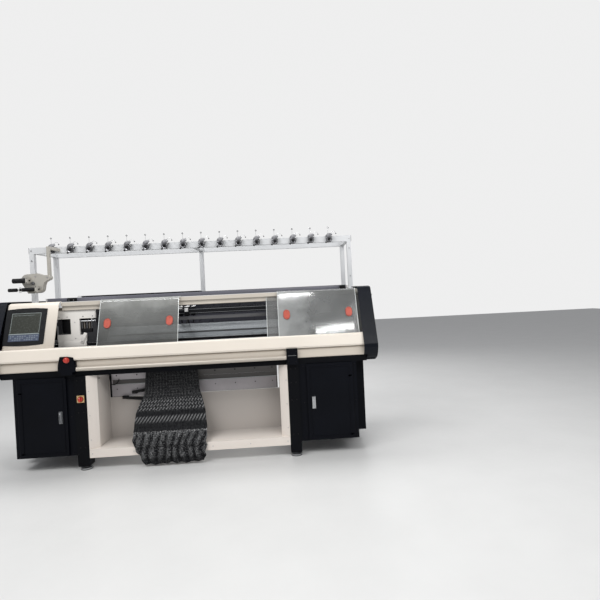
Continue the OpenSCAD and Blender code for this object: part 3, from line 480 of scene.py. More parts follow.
sh = Shape("cream_shell")
rows = [console_ring(CONSOLE_X0 + d, w) for d, w in round_edge(0.02)]
rows += [console_ring(CONSOLE_X1 - d, w) for d, w in reversed(round_edge(0.005))]
rows = [[sh.vert(p) for p in row] for row in rows]
sh.skin(rows, closed=False)
sh.face(rows[0][::-1] + [sh.vert((CONSOLE_X0, CONSOLE_BACK, CONSOLE_FOOT))])
shell = sh.done("console_shell", "cream_shell", smooth=50)
wall = shell.modifiers.new("wall", 'SOLIDIFY')
wall.thickness = 0.0038
wall.offset = -1
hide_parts("console")

# Display and keypad behind the bezel
S0, S1, HALF = SLOPE_L - 0.277, SLOPE_L - 0.057, 0.1105
KEYS = S0 + 0.05
sh = Shape("display_dark", on_slope(CONSOLE_X0 + 0.156))
sh.box((-HALF, KEYS + 0.01, 0.0032), (HALF, S1, 0.0036))
sh.use("keypad_blue").box((-HALF, S0, 0.0032), (HALF, KEYS, 0.0037))
sh.use("display_line").box((-HALF + 0.008, S1 - 0.0065, 0.0034), (HALF - 0.008, S1 - 0.004, 0.004))
for x in (0.0065 - HALF, HALF - 0.0065):
    sh.box((x - 0.001, KEYS + 0.016, 0.0034), (x + 0.001, S1 - 0.004, 0.004))
sh.box((-HALF, KEYS + 0.002, 0.0034), (HALF - 0.004, KEYS + 0.008, 0.0042))
sh.box((-HALF + 0.016, S1 - 0.022, 0.0034), (HALF - 0.052, S1 - 0.0205, 0.004))
sh.use("key_mark")
for i in range(12):
    for j in range(3):
        if (i * 7 + j * 3) % 5:
            x, y = -HALF + 0.016 + i * 0.0172, S0 + 0.007 + j * 0.0135
            sh.box((x - 0.0055, y, 0.0035), (x + 0.0055, y + 0.008, 0.0045), r=0.0008)
sh.done("console_display", "screen_glass")

# Needle beds: needles, the dark groove over their butts, and cam track screws
BED_HALF, APEX_Z, BED_H, NEEDLES = 0.7, 1.018, 0.006, 232
DIAGONAL = math.sqrt(0.5)
for s, bed, body in ((-1, "front", "machine"), (1, "rear", "rear_bed")):
    up, out = DIAGONAL * Vector((0, -s, 1)), DIAGONAL * Vector((0, s, 1))
    m = local(0, Vector((0, s * BED_H, APEX_Z)), up, out)
    sh = Shape("needle_steel", m)
    for i in range(NEEDLES):
        x = -BED_HALF + 0.004 + i * (2 * BED_HALF - 0.008) / (NEEDLES - 1)
        lift = 0.01 if -0.4 < x < 0.05 and i % 2 else 0
        sh.box((x - 0.0006, -0.078 + lift, -0.001), (x + 0.0006, -0.003 + lift * 0.3, 0.0007))
    sh.use("groove_dark").box((-BED_HALF, -0.1, -0.0005), (BED_HALF, -0.084, 0.0008))
    sh.done(bed + "_needles", "bed_steel", body)
    sh = Shape("bed_steel", m).screws([(-0.665 + i * 0.095, -0.134, 0.0002) for i in range(15)], UP, 0.0045, 0.0026)
    sh.done(bed + "_bed_screws", "bed_steel", body)

# Grey guide bar and its dark lip in front of the feeders
sh = Shape("guide_grey").box((-SPAN, -0.1145, 1.056), (SPAN, -0.1005, 1.083), r=0.0015)
sh.use("disc_dark").box((-SPAN, -0.1165, 1.079), (SPAN, -0.1145, 1.085))
sh.done("front_guide_bar", "dark_casting")


# Clear covers: polished edges, and the rims and screws of their pulls
def cover_line(inner):
    """A cover's side view, from its foot to its upper edge."""
    if inner:
        return [(SLOPE_A.y + 0.022, FASCIA_TOP)] + arc((BEND[0], BEND[1] - 0.024), 0.01, 160, 120, 3)
    return [(SLOPE_A.y, FASCIA_TOP)] + arc(BEND, BEND_R, 160, 92, 6) + [(-0.222, COVER_TOP)]


def offset_line(pts, d):
    """An open line moved to its right side by d."""
    out = []
    for i, p in enumerate(pts):
        t = (Vector(pts[min(i + 1, len(pts) - 1)]) - Vector(pts[max(i - 1, 0)])).normalized()
        out.append((p[0] + t.y * d, p[1] - t.x * d))
    return out


for side, x0, x1 in (("left", -0.66, -0.067), ("center", 0.602, 1.346), ("right", 0.69, 1.304)):
    line = cover_line(side == "center")
    outline = offset_line(line, -0.0004) + offset_line(line, 0.0043)[::-1]
    sh = Shape("edge_clear").prism(outline, x0 - 0.0006, x0 + 0.003).prism(outline, x1 - 0.003, x1 + 0.0006)
    sh.done("cover_" + side + "_edges", "clear_cover", "cover_" + side)
    if side == "center":
        continue
    sh = Shape("orange_rim")
    for x in (x0 + 0.066, x1 - 0.066):
        m = on_slope(x, SLOPE_L / 2 - 0.002)
        oval = [m @ Vector((a, b + math.copysign(0.013, b), 0.0072)) for a, b in around(32, 0.0225, True)]
        sh.tube(oval, 0.0022, 6, cap=False)
        for s in SIDES:
            sh.turned([(0, 0.0012), (0.0035, 0.0012), (0.0042, 0)], m @ Vector((0, s * 0.022, 0.007)), SLOPE_N, 12)
    sh.done("pull_rims_" + side, "orange_plastic", "cover_" + side)

# Knitted piece: laid over its path, with folds, tiers of ruffles and curled edges. The path is (y, z) points and
# the sides are (z, left x, right x).
FABRIC_PATH = [(-0.003, 0.772), (-0.01, 0.735), (-0.06, 0.708), (-0.15, 0.686), (-0.176, 0.64), (-0.222, 0.5),
               (-0.3, 0.345), (-0.414, 0.172), (-0.4223, 0.157), (-0.4223, 0.1), (-0.4263, 0.02)]
FABRIC_SIDES = [(0.78, -0.381, 0.005), (0.5, -0.382, 0.05), (0.43, -0.412, 0.075), (0.365, -0.434, 0.094),
                (0.25, -0.434, 0.115), (0.16, -0.42, 0.118), (0.11, -0.388, 0.113), (0.06, -0.36, 0.106),
                (0.01, -0.342, 0.088)]
COLS, STEP = 120, 0.004


def clamp(v):
    return max(0, min(1, v))


def at_height(z):
    """The piece's left and right x at a height."""
    for (z1, l1, r1), (z0, l0, r0) in zip(FABRIC_SIDES, FABRIC_SIDES[1:]):
        if z >= z0:
            t = min((z - z0) / (z1 - z0), 1)
            return l0 + (l1 - l0) * t, r0 + (r1 - r0) * t
    return FABRIC_SIDES[-1][1:]


def fabric_mesh():
    line = [Vector((0, y, z)) for y, z in FABRIC_PATH]
    pts, run = [], 0
    for a, b in zip(line, line[1:]):
        n = max(2, int((b - a).length / STEP))
        pts += [(a.lerp(b, k / n), run + (b - a).length * k / n) for k in range(n)]
        run += (b - a).length
    pts.append((line[-1], run))
    verts, uvs, fold_shade = [], [], []
    for p, s in pts:
        xl, xr = at_height(p.z)
        for i in range(COLS + 1):
            u = i / COLS
            x = xl + (xr - xl) * u
            wob = noise.noise(Vector((x * 9, p.z * 9, 0.3)))
            # Ruffles hang in the lower part, and a bulge lies over them
            low = clamp((0.262 - p.z) / 0.05)
            mid = math.exp(-((p.z - 0.31) / 0.045) ** 2)
            fold = 0.5 + 0.5 * math.sin(x * 2 * math.pi / 0.056 + 2.6 * wob + 2 * math.sin(p.z * 14))
            tier = abs(math.sin((p.z - 0.02 + 0.01 * wob) * math.pi / 0.118))
            out = 0.003 + low * (0.002 + 0.024 * fold ** 1.4 * (0.25 + 0.75 * tier) + 0.007 * tier)
            out += mid * (0.006 + 0.0025 * math.sin(x * 2 * math.pi / 0.034))
            out += (1 - low) * 0.0018 * math.sin(x * 2 * math.pi / 0.075 + p.z * 8) * clamp((0.62 - p.z) / 0.1)
            for tuck in (0.372, 0.262):
                d = (p.z - tuck - 0.004 * wob) / 0.006
                out -= 0.005 * math.exp(-d * d)
            edge = min(u, 1 - u)
            curl = 0.006 * math.exp(-edge / 0.012) if p.z < 0.66 else 0
            xo = 0.004 * low * math.sin(p.z * 90 + (0 if u < 0.5 else 2)) * math.exp(-edge / 0.03)
            zo = 0
            if p.z < 0.06:
                zo = (0.003 * math.sin(x * 31) + 0.004 * math.sin(x * 83 + 1)) * (0.06 - p.z) / 0.04
            verts.append((x + xo, p.y - max(0.0014, out) + curl * 0.4, max(0.008, p.z + zo)))
            uvs.append((u * 0.49, s))
            # The fold attribute is low where the cloth lies back in the folds' valleys and between the tiers: painted
            # shade for the knit's colour
            fold_shade.append(1 - low + low * fold * (0.45 + 0.55 * tier))
    w = COLS + 1
    faces = [(r * w + i, r * w + i + 1, (r + 1) * w + i + 1, (r + 1) * w + i)
             for r in range(len(pts) - 1) for i in range(COLS)]
    me = bpy.data.meshes.new("knitted_piece")
    me.from_pydata(verts, [], faces)
    layer = me.uv_layers.new(name="flat")
    for loop in me.loops:
        layer.data[loop.index].uv = uvs[loop.vertex_index]
    me.attributes.new("fold", 'FLOAT', 'POINT').data.foreach_set("value", fold_shade)
    me.shade_smooth()
    return me


def knit_material():
    """Black knit with light rows. The zones give a pattern's strength along the piece, from 0 to 1."""
    nt, bsdf = new_mat("knit_marl")
    uv = node(nt, "ShaderNodeUVMap", uv_map="flat")
    u, v = [node(nt, "ShaderNodeSeparateXYZ", {0: uv}, axis) for axis in "XY"]
    run = calc(nt, 'DIVIDE', v, 0.93)
    # The fold attribute paints shade into the knit's folds and between its tiers
    fold = node(nt, "ShaderNodeAttribute", out="Fac", attribute_name="fold")

    def spots(y, seed, scale, detail, rough):
        place = node(nt, "ShaderNodeMapping", {"Vector": uv, "Scale": (1, y, 1), "Location": (seed, seed * 0.7, 0)})
        return noise_tex(nt, place, scale, detail, rough)

    def waves(fac, period, shift=None):
        turns = calc(nt, 'MULTIPLY', fac, 2 * math.pi / period)
        return calc(nt, 'SINE', turns if shift is None else calc(nt, 'ADD', turns, shift))

    def above(val, lo, hi):
        return maprange(nt, val, 0, 1, lo, hi)

    def times(first, *others):
        for other in others:
            first = calc(nt, 'MULTIPLY', first, other)
        return first

    def zone(*stops):
        return ramp(nt, run, [(p, (k, k, k)) for p, k in stops])

    weave = times(waves(u, 0.0062), waves(v, 0.0052))
    marl = spots(0.8, 0, 120, 2, 0.65)
    broken = above(spots(1, 4, 95, 3, 0.6), 0.42, 0.6)
    patches = above(spots(1, 2, 22, 3, 0.6), 0.3, 0.62)
    # Upper part: light wales and courses, broken up
    grid = calc(nt, 'MAXIMUM', above(waves(u, 0.027), 0.8, 1), above(waves(v, 0.021), 0.86, 1))
    grid = times(grid, broken, zone((0, 0.1), (0.44, 0.26), (0.463, 0), (1, 0)))
    # Herringbone rows below it
    sway = times(calc(nt, 'PINGPONG', v, 0.014), 2 * math.pi / 0.028)
    herring = above(waves(u, 0.024, sway), 0.15, 0.8)
    rows = above(waves(v, 0.028), -0.95, -0.45)
    herring = times(herring, rows, above(broken, -0.4, 0.9),
                    zone((0, 0), (0.46, 0), (0.466, 0.52), (0.562, 0.44), (0.57, 0), (1, 0)))
    # One row of long slanting stitches between two black bands
    slant = times(above(waves(u, 0.0225, times(v, 150)), -0.35, 0.65), above(broken, -0.8, 0.8),
                  zone((0, 0), (0.604, 0), (0.618, 0.34), (0.648, 0.3), (0.67, 0), (1, 0)))
    # Ruffles in marl, a light course above them and the dark hem; the fold attribute dims the specks in the folds'
    # valleys as painted shade
    speck = times(above(marl, 0.5, 0.6), above(patches, -0.6, 1), above(fold, -0.35, 0.4),
                  zone((0, 0.05), (0.44, 0.1), (0.47, 0.14), (0.57, 0.12), (0.576, 0), (0.735, 0.02),
                       (0.738, 0.85), (0.745, 0.6), (0.751, 0.27), (0.93, 0.25), (0.948, 0.06), (0.985, 0.16),
                       (1, 0.55)))
    amount = calc(nt, 'MAXIMUM', calc(nt, 'MAXIMUM', grid, herring), calc(nt, 'MAXIMUM', slant, speck))
    base = mix(nt, above(weave, -0.6, 0.9), (0.004, 0.0042, 0.005), (0.0095, 0.0098, 0.0115))
    # The ruffles' marl is dimmed by the fold attribute as well: painted shade in the valleys
    ruffle = times(above(spots(0.45, 7, 75, 4, 0.7), 0.36, 0.62), above(fold, 0.12, 0.75),
                   zone((0, 0.35), (0.44, 0.35), (0.47, 0.15), (0.74, 0.2), (0.748, 1), (0.93, 1), (0.955, 0.25),
                        (1, 0.2)))
    base = mix(nt, ruffle, base, (0.1, 0.102, 0.104))
    feed(nt, bsdf, {"Base Color": mix(nt, amount, base, (0.56, 0.56, 0.565)), "Roughness": 0.92,
                    "Specular IOR Level": 0.05, "Sheen Weight": 0.02, "Sheen Roughness": 0.5})
    bump(nt, bsdf, amount, 0.5, 0.0016, under=bump(nt, bsdf, weave, 0.5, 0.0012))


me = fabric_mesh()
knit_material()
me.materials.append(MAT["knit_marl"])
cloth = add_object("knitted_piece", me)
thick = cloth.modifiers.new("thickness", 'SOLIDIFY')
thick.thickness = 0.0022
thick.offset = 0
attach(cloth, "machine")
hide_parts("knitted_fabric")

# Yarn tension units on the stand's front rail, each with its own origin on the rail
HUB = (0, -0.026, -0.004)
EYE = (-0.004, -0.012, 0.0965)
sh = Shape()
for i in range(16):
    tilt = 0.18 * math.sin(i * 2.3)
    sh.at(-1.155 + i * 0.154, 0.049, 1.682)
    sh.use("unit_grey").box((-0.017, -0.026, -0.028), (0.017, -0.0003, 0.03), r=0.004, seg=3)
    sh.turned([(0, 0.02), (0.012, 0.0185), (0.022, 0.014), (0.029, 0.006), (0.031, 0), (0.027, -0.004), (0, -0.006)],
              (0.002, -0.018, 0.03), (-0.3 + tilt * 0.3, -0.4, 0.86), 26)
    sh.use("disc_dark")
    sh.turned([(0, 0.0095), (0.01, 0.0095), (0.024, 0.006), (0.0265, 0.0075), (0.0275, 0.0055), (0.012, 0.003),
               (0, 0.003)], HUB, FRONT, 28)
    sh.turned([(0, 0.0095), (0.01, 0.0115), (0.022, 0.016), (0.0245, 0.015), (0.012, 0.0105), (0, 0.0085)],
              HUB, FRONT, 28)
    sh.use("tension_metal").turned([(0.0032, 0), (0.0032, 0.022), (0, 0.022)], HUB, FRONT, 10)
    sh.use("black_plastic")
    sh.turned([(0, 0.027), (0.007, 0.027), (0.0085, 0.0255), (0.0085, 0.0185), (0, 0.0185)], HUB, FRONT, 16)
    sh.box((0.018, -0.022, 0.006), (0.03, -0.006, 0.02), r=0.003)
    sh.turned([(0, 0), (0.007, 0.001), (0.007, 0.009), (0, 0.01)], (-0.024, -0.016, -0.03), (-0.2, -1, 0.1), 12)
    sh.use("ceramic")
    sh.turned([(0.0045, 0), (0.0065, 0.002), (0.0065, 0.006), (0.0045, 0.008), (0.0032, 0.004), (0.0045, 0)],
              (0.024, -0.024, 0.013), FRONT, 14)
    sh.use("tension_metal")
    sh.tube(smooth_path([(0.006, -0.012, 0.03), (0.018, -0.016, 0.052), (0.046, -0.022, 0.062),
                         (0.062, -0.024, 0.046 + 0.01 * tilt)], 5), 0.0011, 6)
    sh.tube(smooth_path([(EYE[0], EYE[1], z) for z in (0.034, 0.07, 0.09)], 4), 0.001, 6)
    sh.tube([(EYE[0] + a, EYE[1], EYE[2] + b) for a, b in around(16, 0.0065, True)], 0.0011, 6, cap=False)
    sh.use("black_plastic").box((0.058, -0.027, 0.038), (0.066, -0.021, 0.046), r=0.0015)
    sh.turned([(0.0045, -0.003), (0.0062, 0), (0.0045, 0.003), (0.003, 0), (0.0045, -0.003)], EYE, FRONT, 12)
units = sh.done("tension_units", "tension_metal")
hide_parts("tensioners")

# Stop button: head, collar and the plate's screws
STOP_X, STOP_Z = -0.856, 0.822
sh = Shape("black_plastic")
sh.turned([(0, -0.004), (0.0088, -0.004), (0.0088, 0.008), (0.013, 0.009), (0.013, 0.014), (0, 0.014)],
          (STOP_X, -0.453, STOP_Z), FRONT, 28)
sh.use("red_plastic")
sh.turned([(0, 0.0065), (0.011, 0.0065), (0.0156, 0.008), (0.017, 0.0105), (0.0165, 0.013), (0.0145, 0.0155),
           (0.0125, 0.016), (0.0105, 0.015), (0, 0.0155)], (STOP_X, -0.4535, STOP_Z), FRONT, 36)
head = sh.done("stop_button_head", "red_plastic", "estop_button")
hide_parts("estop_button")
sh = Shape("red_plastic").at(STOP_X, PLATE_FACE, STOP_Z)
sh.turned([(0.01, 0), (0.0215, 0), (0.0215, 0.0012), (0.02, 0.0018), (0.01, 0.0018), (0.01, 0)],
          (0, 0, 0), FRONT, 36)
sh.use("black_plastic").screws([(-0.042, 0, -0.058), (0.032, 0, -0.058), (0.032, 0, 0)], FRONT, 0.0045)
sh.done("stop_button_collar", "red_plastic")

# Main switch: black ring, screws and the pointer on the knob
SWITCH_Z = 0.528
sh = Shape("black_plastic").at(-LEG_X, -0.4251, SWITCH_Z)
sh.turned([(0.0188, 0), (0.0212, 0), (0.0212, 0.0016), (0.0188, 0.0022), (0.0188, 0)], (0, 0, 0), FRONT)
sh.use("screw_steel").screws([(x * 0.0215, 0, z * 0.0215) for x in SIDES for z in SIDES], FRONT, 0.0028, 0.0018)
sh.done("switch_ring", "black_plastic")
sh = Shape("lamp_white").at(-LEG_X, 0, SWITCH_Z).box((-0.001, -0.4476, 0.007), (0.001, -0.4469, 0.016))
sh.done("switch_pointer", "red_plastic", "switch_knob")

# Carriage: a brown wedge of painted shadow under the rail, screws, skirt, actuators with their wires, and the swing
# lever
CAR_X0, CAR_X1, CAR_FACE, ARCH_TOP = -1.02, -0.728, -0.2241, 1.196
# Painted shadow of the upper rail: a brown wedge on the carriage's face, taller at its left end
sh = Shape("brown_and_painted_shadow")
sh.prism([(CAR_X0 + 0.002, 1.176), (CAR_X1 - 0.002, 1.189), (CAR_X1 - 0.002, 1.2005), (CAR_X0 + 0.002, 1.2005)],
         -0.2258, -0.2242, "xz")
sh.use("screw_steel").screws([(x, CAR_FACE, 1.128) for x in (-1, -0.94, -0.82, -0.748)], FRONT, 0.0042)
sh.screws([(-0.884, CAR_FACE, z) for z in (0.96, 1.085)], FRONT, 0.0036)
sh.screws([(x, y, ARCH_TOP + 0.0061) for x in (-0.985, -0.76) for y in (-0.17, 0.17)], UP, 0.006)
sh.use("carriage_white").box((CAR_X0 + 0.001, -0.2243, 0.897), (-0.803, -0.2162, 0.944), r=0.003, seg=3)
sh.done("carriage_trim", "carriage_white", "carriage")

sh = Shape("black_plastic")
sh.box((-0.99, -0.18, 0.986), (-0.758, -0.178, 1.165))
sh.box((-0.985, -0.2035, 1.004), (-0.925, -0.176, 1.105), r=0.003)
sh.box((-0.846, -0.203, 0.992), (-0.764, -0.186, 1.03), r=0.002)
for i in range(5):
    sh.use("brown_and_painted_shadow" if i % 2 else "disc_dark")
    sh.turned([(0, 0), (0.0065, 0), (0.0065, 0.052), (0.0035, 0.054), (0.0035, 0.064), (0, 0.064)],
              (-0.842 + i * 0.019, -0.196, 1.032), UP, 16)
sh.use("rail_steel").tube([(-0.85, -0.2065, 1.0905), (-0.732, -0.2065, 1.0905)], 0.0065, 12)
sh.use("ceramic")
sh.turned([(0, 0), (0.006, 0.001), (0.006, 0.013), (0, 0.014)], (-0.762, -0.207, 1.098), (0, -0.2, 1), 14)
sh.use("black_plastic")
for x, z in ((-0.905, 1.06), (-0.885, 1.02)):
    wire = [(-0.06, -0.19, 0.03), (-0.02, -0.198, 0), (0.03, -0.198, -0.01), (0.06, -0.19, 0)]
    sh.at(x, 0, z).tube(smooth_path(wire, 5), 0.003)
sh.done("carriage_actuators", "black_plastic", "carriage")

m = Matrix.Translation((-0.826, -0.2265, 0.952)) @ Matrix.Rotation(math.radians(24), 4, 'Y')
sh = Shape("carriage_white", m).box((-0.013, -0.0035, -0.034), (0.013, 0.002, 0.052), r=0.003)
sh.at(0, 0, 0).use("screw_steel").screws([m @ Vector((0, -0.0036, -0.02))], FRONT, 0.0045)
sh.done("carriage_lever", "carriage_white", "carriage")

# Cable chain on top of the arches
sh = Shape("black_plastic")
for i in range(9):
    x = -0.99 + i * 0.029
    sh.box((x, 0.02, ARCH_TOP + 0.0062), (x + 0.025, 0.07, ARCH_TOP + 0.026), r=0.003)
sh.done("cable_chain", "black_plastic", "carriage")

# Yarn feeders: plates and a cap on the slider, screws, an eye and a spring wire
RAIL_PITCH = 0.05
for i, x in enumerate((-0.054, -0.112, -0.02, -0.076)):
    s = -1 if i < 2 else 1
    sh = Shape().at(x, (i - 1.5) * RAIL_PITCH, 0)
    sh.use("lamp_white").box((-0.014, s * 0.0152, 1.12), (0.014, s * 0.0202, 1.15), r=0.0015)
    sh.box((-0.016, -0.01, 1.1582), (0.016, 0.01, 1.164), r=0.002)
    sh.use("screw_steel").screws([(dx, s * 0.0202, 1.144) for dx in (-0.009, 0.009)], (0, s, 0), 0.0026, 0.0018)
    sh.use("ceramic")
    sh.turned([(0.0032, 0), (0.0055, 0.001), (0.0055, 0.006), (0.0032, 0.007), (0.0024, 0.0035), (0.0032, 0)],
              (0.006, 0, 1.164), UP, 14)
    spring = [(0.01, s * 0.004, 1.163), (0.022, s * 0.006, 1.176), (0.026, 0, 1.186)]
    sh.use("tension_metal").tube(smooth_path(spring, 5), 0.0009, 6)
    sh.use("black_plastic").box((-0.017, s * 0.0152, 1.094), (0.017, s * 0.019, 1.116), r=0.001)
    sh.done("feeder_%d_trim" % (i + 1), "black_plastic", "feeder_%d" % (i + 1))

# Feeder rails: bright edges and end brackets
sh = Shape()
for i in range(4):
    sh.at(0, (i - 1.5) * RAIL_PITCH, 0).use("rail_steel")
    for s in SIDES:
        sh.box((-SPAN, s * 0.005, 1.137), (SPAN, s * 0.0053, 1.1395))
        sh.box((-SPAN, s * 0.005, 1.1075), (SPAN, s * 0.0053, 1.1095))
    for s in SIDES:
        sh.use("dark_casting").box((s * 1.3, -0.016, 1.094), (s * 1.3215, 0.016, 1.152), r=0.002)
        sh.use("screw_steel").screws([(s * 1.299, 0, 1.149)], (-s, 0, 0), 0.003)
sh.done("feeder_rail_ends", "feeder_rail_black")

# Guard below the beds: lilac panels, bright edges and screws
sh = Shape("guard_lilac")
sh.box((-0.652, -0.143, 0.4715), (-0.362, GUARD_LOW, 0.564), r=0.0003)
sh.box((-0.33, -0.143, 0.4715), (0.652, GUARD_LOW, 0.564), r=0.0003)
sh.box((-0.658, -0.1466, 0.6065), (-0.372, GUARD_HIGH, 0.6715), r=0.0002)
sh.box((-0.6606, -0.1428, 0.4704), (-0.6518, GUARD_LOW, 0.74), r=0.0003)
sh.use("rail_steel")
for y, z0, z1 in ((GUARD_HIGH, 0.669, 0.6715), (-0.1361, 0.604, 0.6058), (GUARD_LOW, 0.5655, 0.569)):
    sh.box((-0.655, y - 0.0014, z0), (0.655, y, z1))
sh.use("black_plastic")
for x in (-0.62, -0.46, 0.16, 0.32, 0.48, 0.62):
    sh.screws([(x, GUARD_HIGH, 0.64)], FRONT, 0.0052)
    sh.screws([(x, GUARD_LOW, 0.53)], FRONT, 0.0042)
sh.done("guard_lines", "dark_casting")

# Hooks at the left end of the beam and of the guard
sh = Shape("black_plastic")
sh.tube(smooth_path([(-0.69, -0.335, 0.696), (-0.69, -0.337, 0.674), (-0.684, -0.343, 0.66),
                     (-0.672, -0.346, 0.663)], 5), 0.004)
sh.box((-0.699, -0.345, 0.69), (-0.681, -0.327, 0.699), r=0.002)
sh.tube(smooth_path([(-0.66, -0.147, 0.655), (-0.664, -0.17, 0.64), (-0.655, -0.178, 0.59), (-0.63, -0.178, 0.574),
                     (-0.604, -0.17, 0.59), (-0.6, -0.147, 0.612)], 6), 0.0034)
sh.done("beam_hook", "black_plastic")

# Release lever: grips on its forks and the pivot's cap
sh = Shape("black_plastic").at(-0.346, 0, 0)
sh.box((-0.154, -0.1665, 0.4905), (-0.11, -0.1485, 0.515), r=0.004)
sh.box((-0.23, -0.1665, 0.4545), (-0.18, -0.1485, 0.478), r=0.004)
sh.use("screw_steel")
sh.turned([(0, 0.004), (0.006, 0.004), (0.01, 0.0025), (0.01, 0)], (0, -0.164, 0.49), FRONT, 18)
sh.done("lever_grips", "black_plastic", "release_levers")

# Cabinets: the latches' locks, plates and lines on the doors, then screws, cable glands and cables
LATCH = (0.93, -0.4225, 0.4)
for s, side in ((-1, "left"), (1, "right")):
    sh = Shape("screw_steel").at(s * LATCH[0], LATCH[1], LATCH[2])
    sh.turned([(0, 0.0042), (0.0035, 0.0042), (0.0048, 0.003), (0.0048, 0)], (0, -0.012, 0.03), FRONT, 18)
    sh.use("black_plastic").box((-0.0006, -0.0165, 0.0275), (0.0006, -0.016, 0.0325))
    sh.done(side + "_latch_lock", "zinc_steel", side + "_latch")
    sh = Shape().at(s * LATCH[0], LATCH[1], LATCH[2]).use("latch_dark" if s < 0 else "zinc_steel")
    sh.box((-0.013, -0.0028, -0.045), (0.013, -0.0002, 0.045), r=0.0012)
    sh.at(0, LATCH[1], 0).use("cabinet_paint")
    for x in (0.912, 1.199):
        sh.box((s * x, -0.0016, 0.145), (s * (x + 0.003), -0.0001, 0.665), r=0.0005)
    sh.done(side + "_door_trim", "cabinet_paint", side + "_door")
    sh = Shape("black_plastic")
    sh.screws([(s * x, -0.4081, z) for z in (0.13, 0.4, 0.675) for x in (0.859, 1.252)], FRONT, 0.0042)
    for x in (0.925, 0.985, 1.045):
        sh.at(s * x, 0, 0)
        sh.turned([(0, 0.016), (0.009, 0.016), (0.012, 0.012), (0.015, 0.01), (0.015, 0)], (0, 0.33, 0.17), BACK, 6)
        sh.tube(smooth_path([(0, 0.346, 0.17), (0, 0.362, 0.172), (0, 0.37, 0.19), (0, 0.37, 0.4),
                             (0, 0.366, 0.69)], 5), 0.0052)
    sh.done(side + "_cabinet_trim", "cabinet_paint")

# Pedestals: plates of the feet and bolts
sh = Shape()
for s in SIDES:
    for y in (-0.378, 0.378):
        sh.use("zinc_steel")
        sh.turned([(0.0385, 0), (0.0405, 0.002), (0.0405, 0.01), (0.036, 0.0128), (0.012, 0.0128), (0.012, 0.0122),
                   (0.0385, 0)], (s * LEG_X, y, 0), UP, 40)
        sh.use("black_plastic")
        sh.turned([(0.034, 0), (0.0418, 0), (0.0418, 0.004), (0.0405, 0.005), (0.034, 0)],
                  (s * LEG_X, y, 0.0002), UP, 40)
    for z in (0.17, 0.43, 0.56, 0.665):
        sh.screws([(s * 0.765, LEG_FACE, z), (s * 0.801, LEG_FACE, z)], FRONT, 0.0055, 0.0035)
        sh.screws([(s * LEG_X, -LEG_FACE, z)], BACK, 0.0065, 0.004)
sh.done("pedestal_bolts", "zinc_steel")

# Liner: hems and screws
sh = Shape("liner_paint")
for s in SIDES:
    sh.box((s * 0.6785, -0.4235, 0.148), (s * 0.7385, -0.4218, 0.154), r=0.0005)
sh.box((-0.739, -0.4236, 0.0898), (0.739, -0.4216, 0.0935), r=0.0006)
sh.use("screw_steel").screws([(x, LEG_FACE, 0.12) for x in (-0.72, -0.42, 0.16, 0.44, 0.72)], FRONT, 0.0036)
for s in SIDES:
    sh.screws([(s * 0.727, -0.4141, z) for z in (0.22, 0.4, 0.58)], (s * -0.6, -0.8, 0), 0.0034)
sh.done("liner_trim", "liner_paint")

# Side feeder: spoked guide ring on the lower shaft, then screws and a knob on its body
ROLL_HI_Z, ROLL_LO_Z = 1.427, 1.356
sh = Shape("lamp_white").at(-1.3135, -0.166, ROLL_LO_Z)
sh.tube([(0, a, b) for a, b in around(28, 0.0205, True)], 0.002, cap=False)
for a, b in around(6):
    sh.tube([(0, 0.009 * a, 0.009 * b), (0, 0.02 * a, 0.02 * b)], 0.0013, 6)
sh.done("feed_guide_ring", "roller_rubber", "feed_lower")
sh = Shape("screw_steel")
for x, z in ((-1.294, 1.452), (-1.205, 1.458), (-1.116, 1.446), (-1.168, 1.372), (-1.262, 1.345)):
    sh.screws([(x, -0.1402, z)], FRONT, 0.005, 0.0034)
    sh.screws([(x, -0.0918, z)], BACK, 0.005, 0.0034)
sh.use("black_plastic")
for x, z in ((-1.25, ROLL_HI_Z), (-1.182, ROLL_LO_Z)):
    sh.screws([(x, -0.1901, z - 0.018), (x, -0.1901, z + 0.018)], FRONT, 0.0036, 0.0026)
sh.use("disc_dark")
sh.turned([(0, 0), (0.013, 0), (0.013, 0.01), (0.011, 0.012), (0, 0.012)], (-1.225, -0.1402, 1.405), FRONT, 20)
sh.done("side_feeder_trim", "feeder_grey")

# Right bracket: bright slot line and screws
sh = Shape("rail_steel").box((0.748, -0.4504, 0.7654), (0.811, -0.4498, 0.7676))
sh.use("black_plastic")
sh.screws([(x, PLATE_FACE, z) for x in (0.752, 0.809) for z in (0.796, 0.722)], FRONT, 0.0045)
sh.done("bracket_line", "cabinet_paint")

# Apron under the upper rail, its light edge and a brown strip of painted shadow under it
APRON_X0 = -0.9695
sh = Shape("apron_beige")
sh.box((APRON_X0, -0.2347, 1.1803), (1.349, -0.2341, 1.2136))
sh.box((APRON_X0, -0.2507, 1.2142), (1.3215, -0.2501, 1.2432))
sh.use("lamp_white").box((APRON_X0, -0.2509, 1.2432), (1.3215, -0.248, 1.2458))
# Painted shadow: a brown strip under the apron
sh.use("brown_and_painted_shadow").box((APRON_X0, -0.2343, 1.177), (1.349, -0.2325, 1.1806))
sh.done("upper_apron", "rail_white")

# Lilac band on the rear cover rail, with a white line under it
sh = Shape("band_lilac").box((-SPAN, 0.2372, 1.244), (SPAN, 0.2397, 1.2824), r=0.0006)
sh.use("lamp_white").box((-SPAN, 0.2364, 1.2395), (SPAN, 0.2396, 1.244), r=0.0005)
sh.done("rear_rail_band", "rear_smoke")

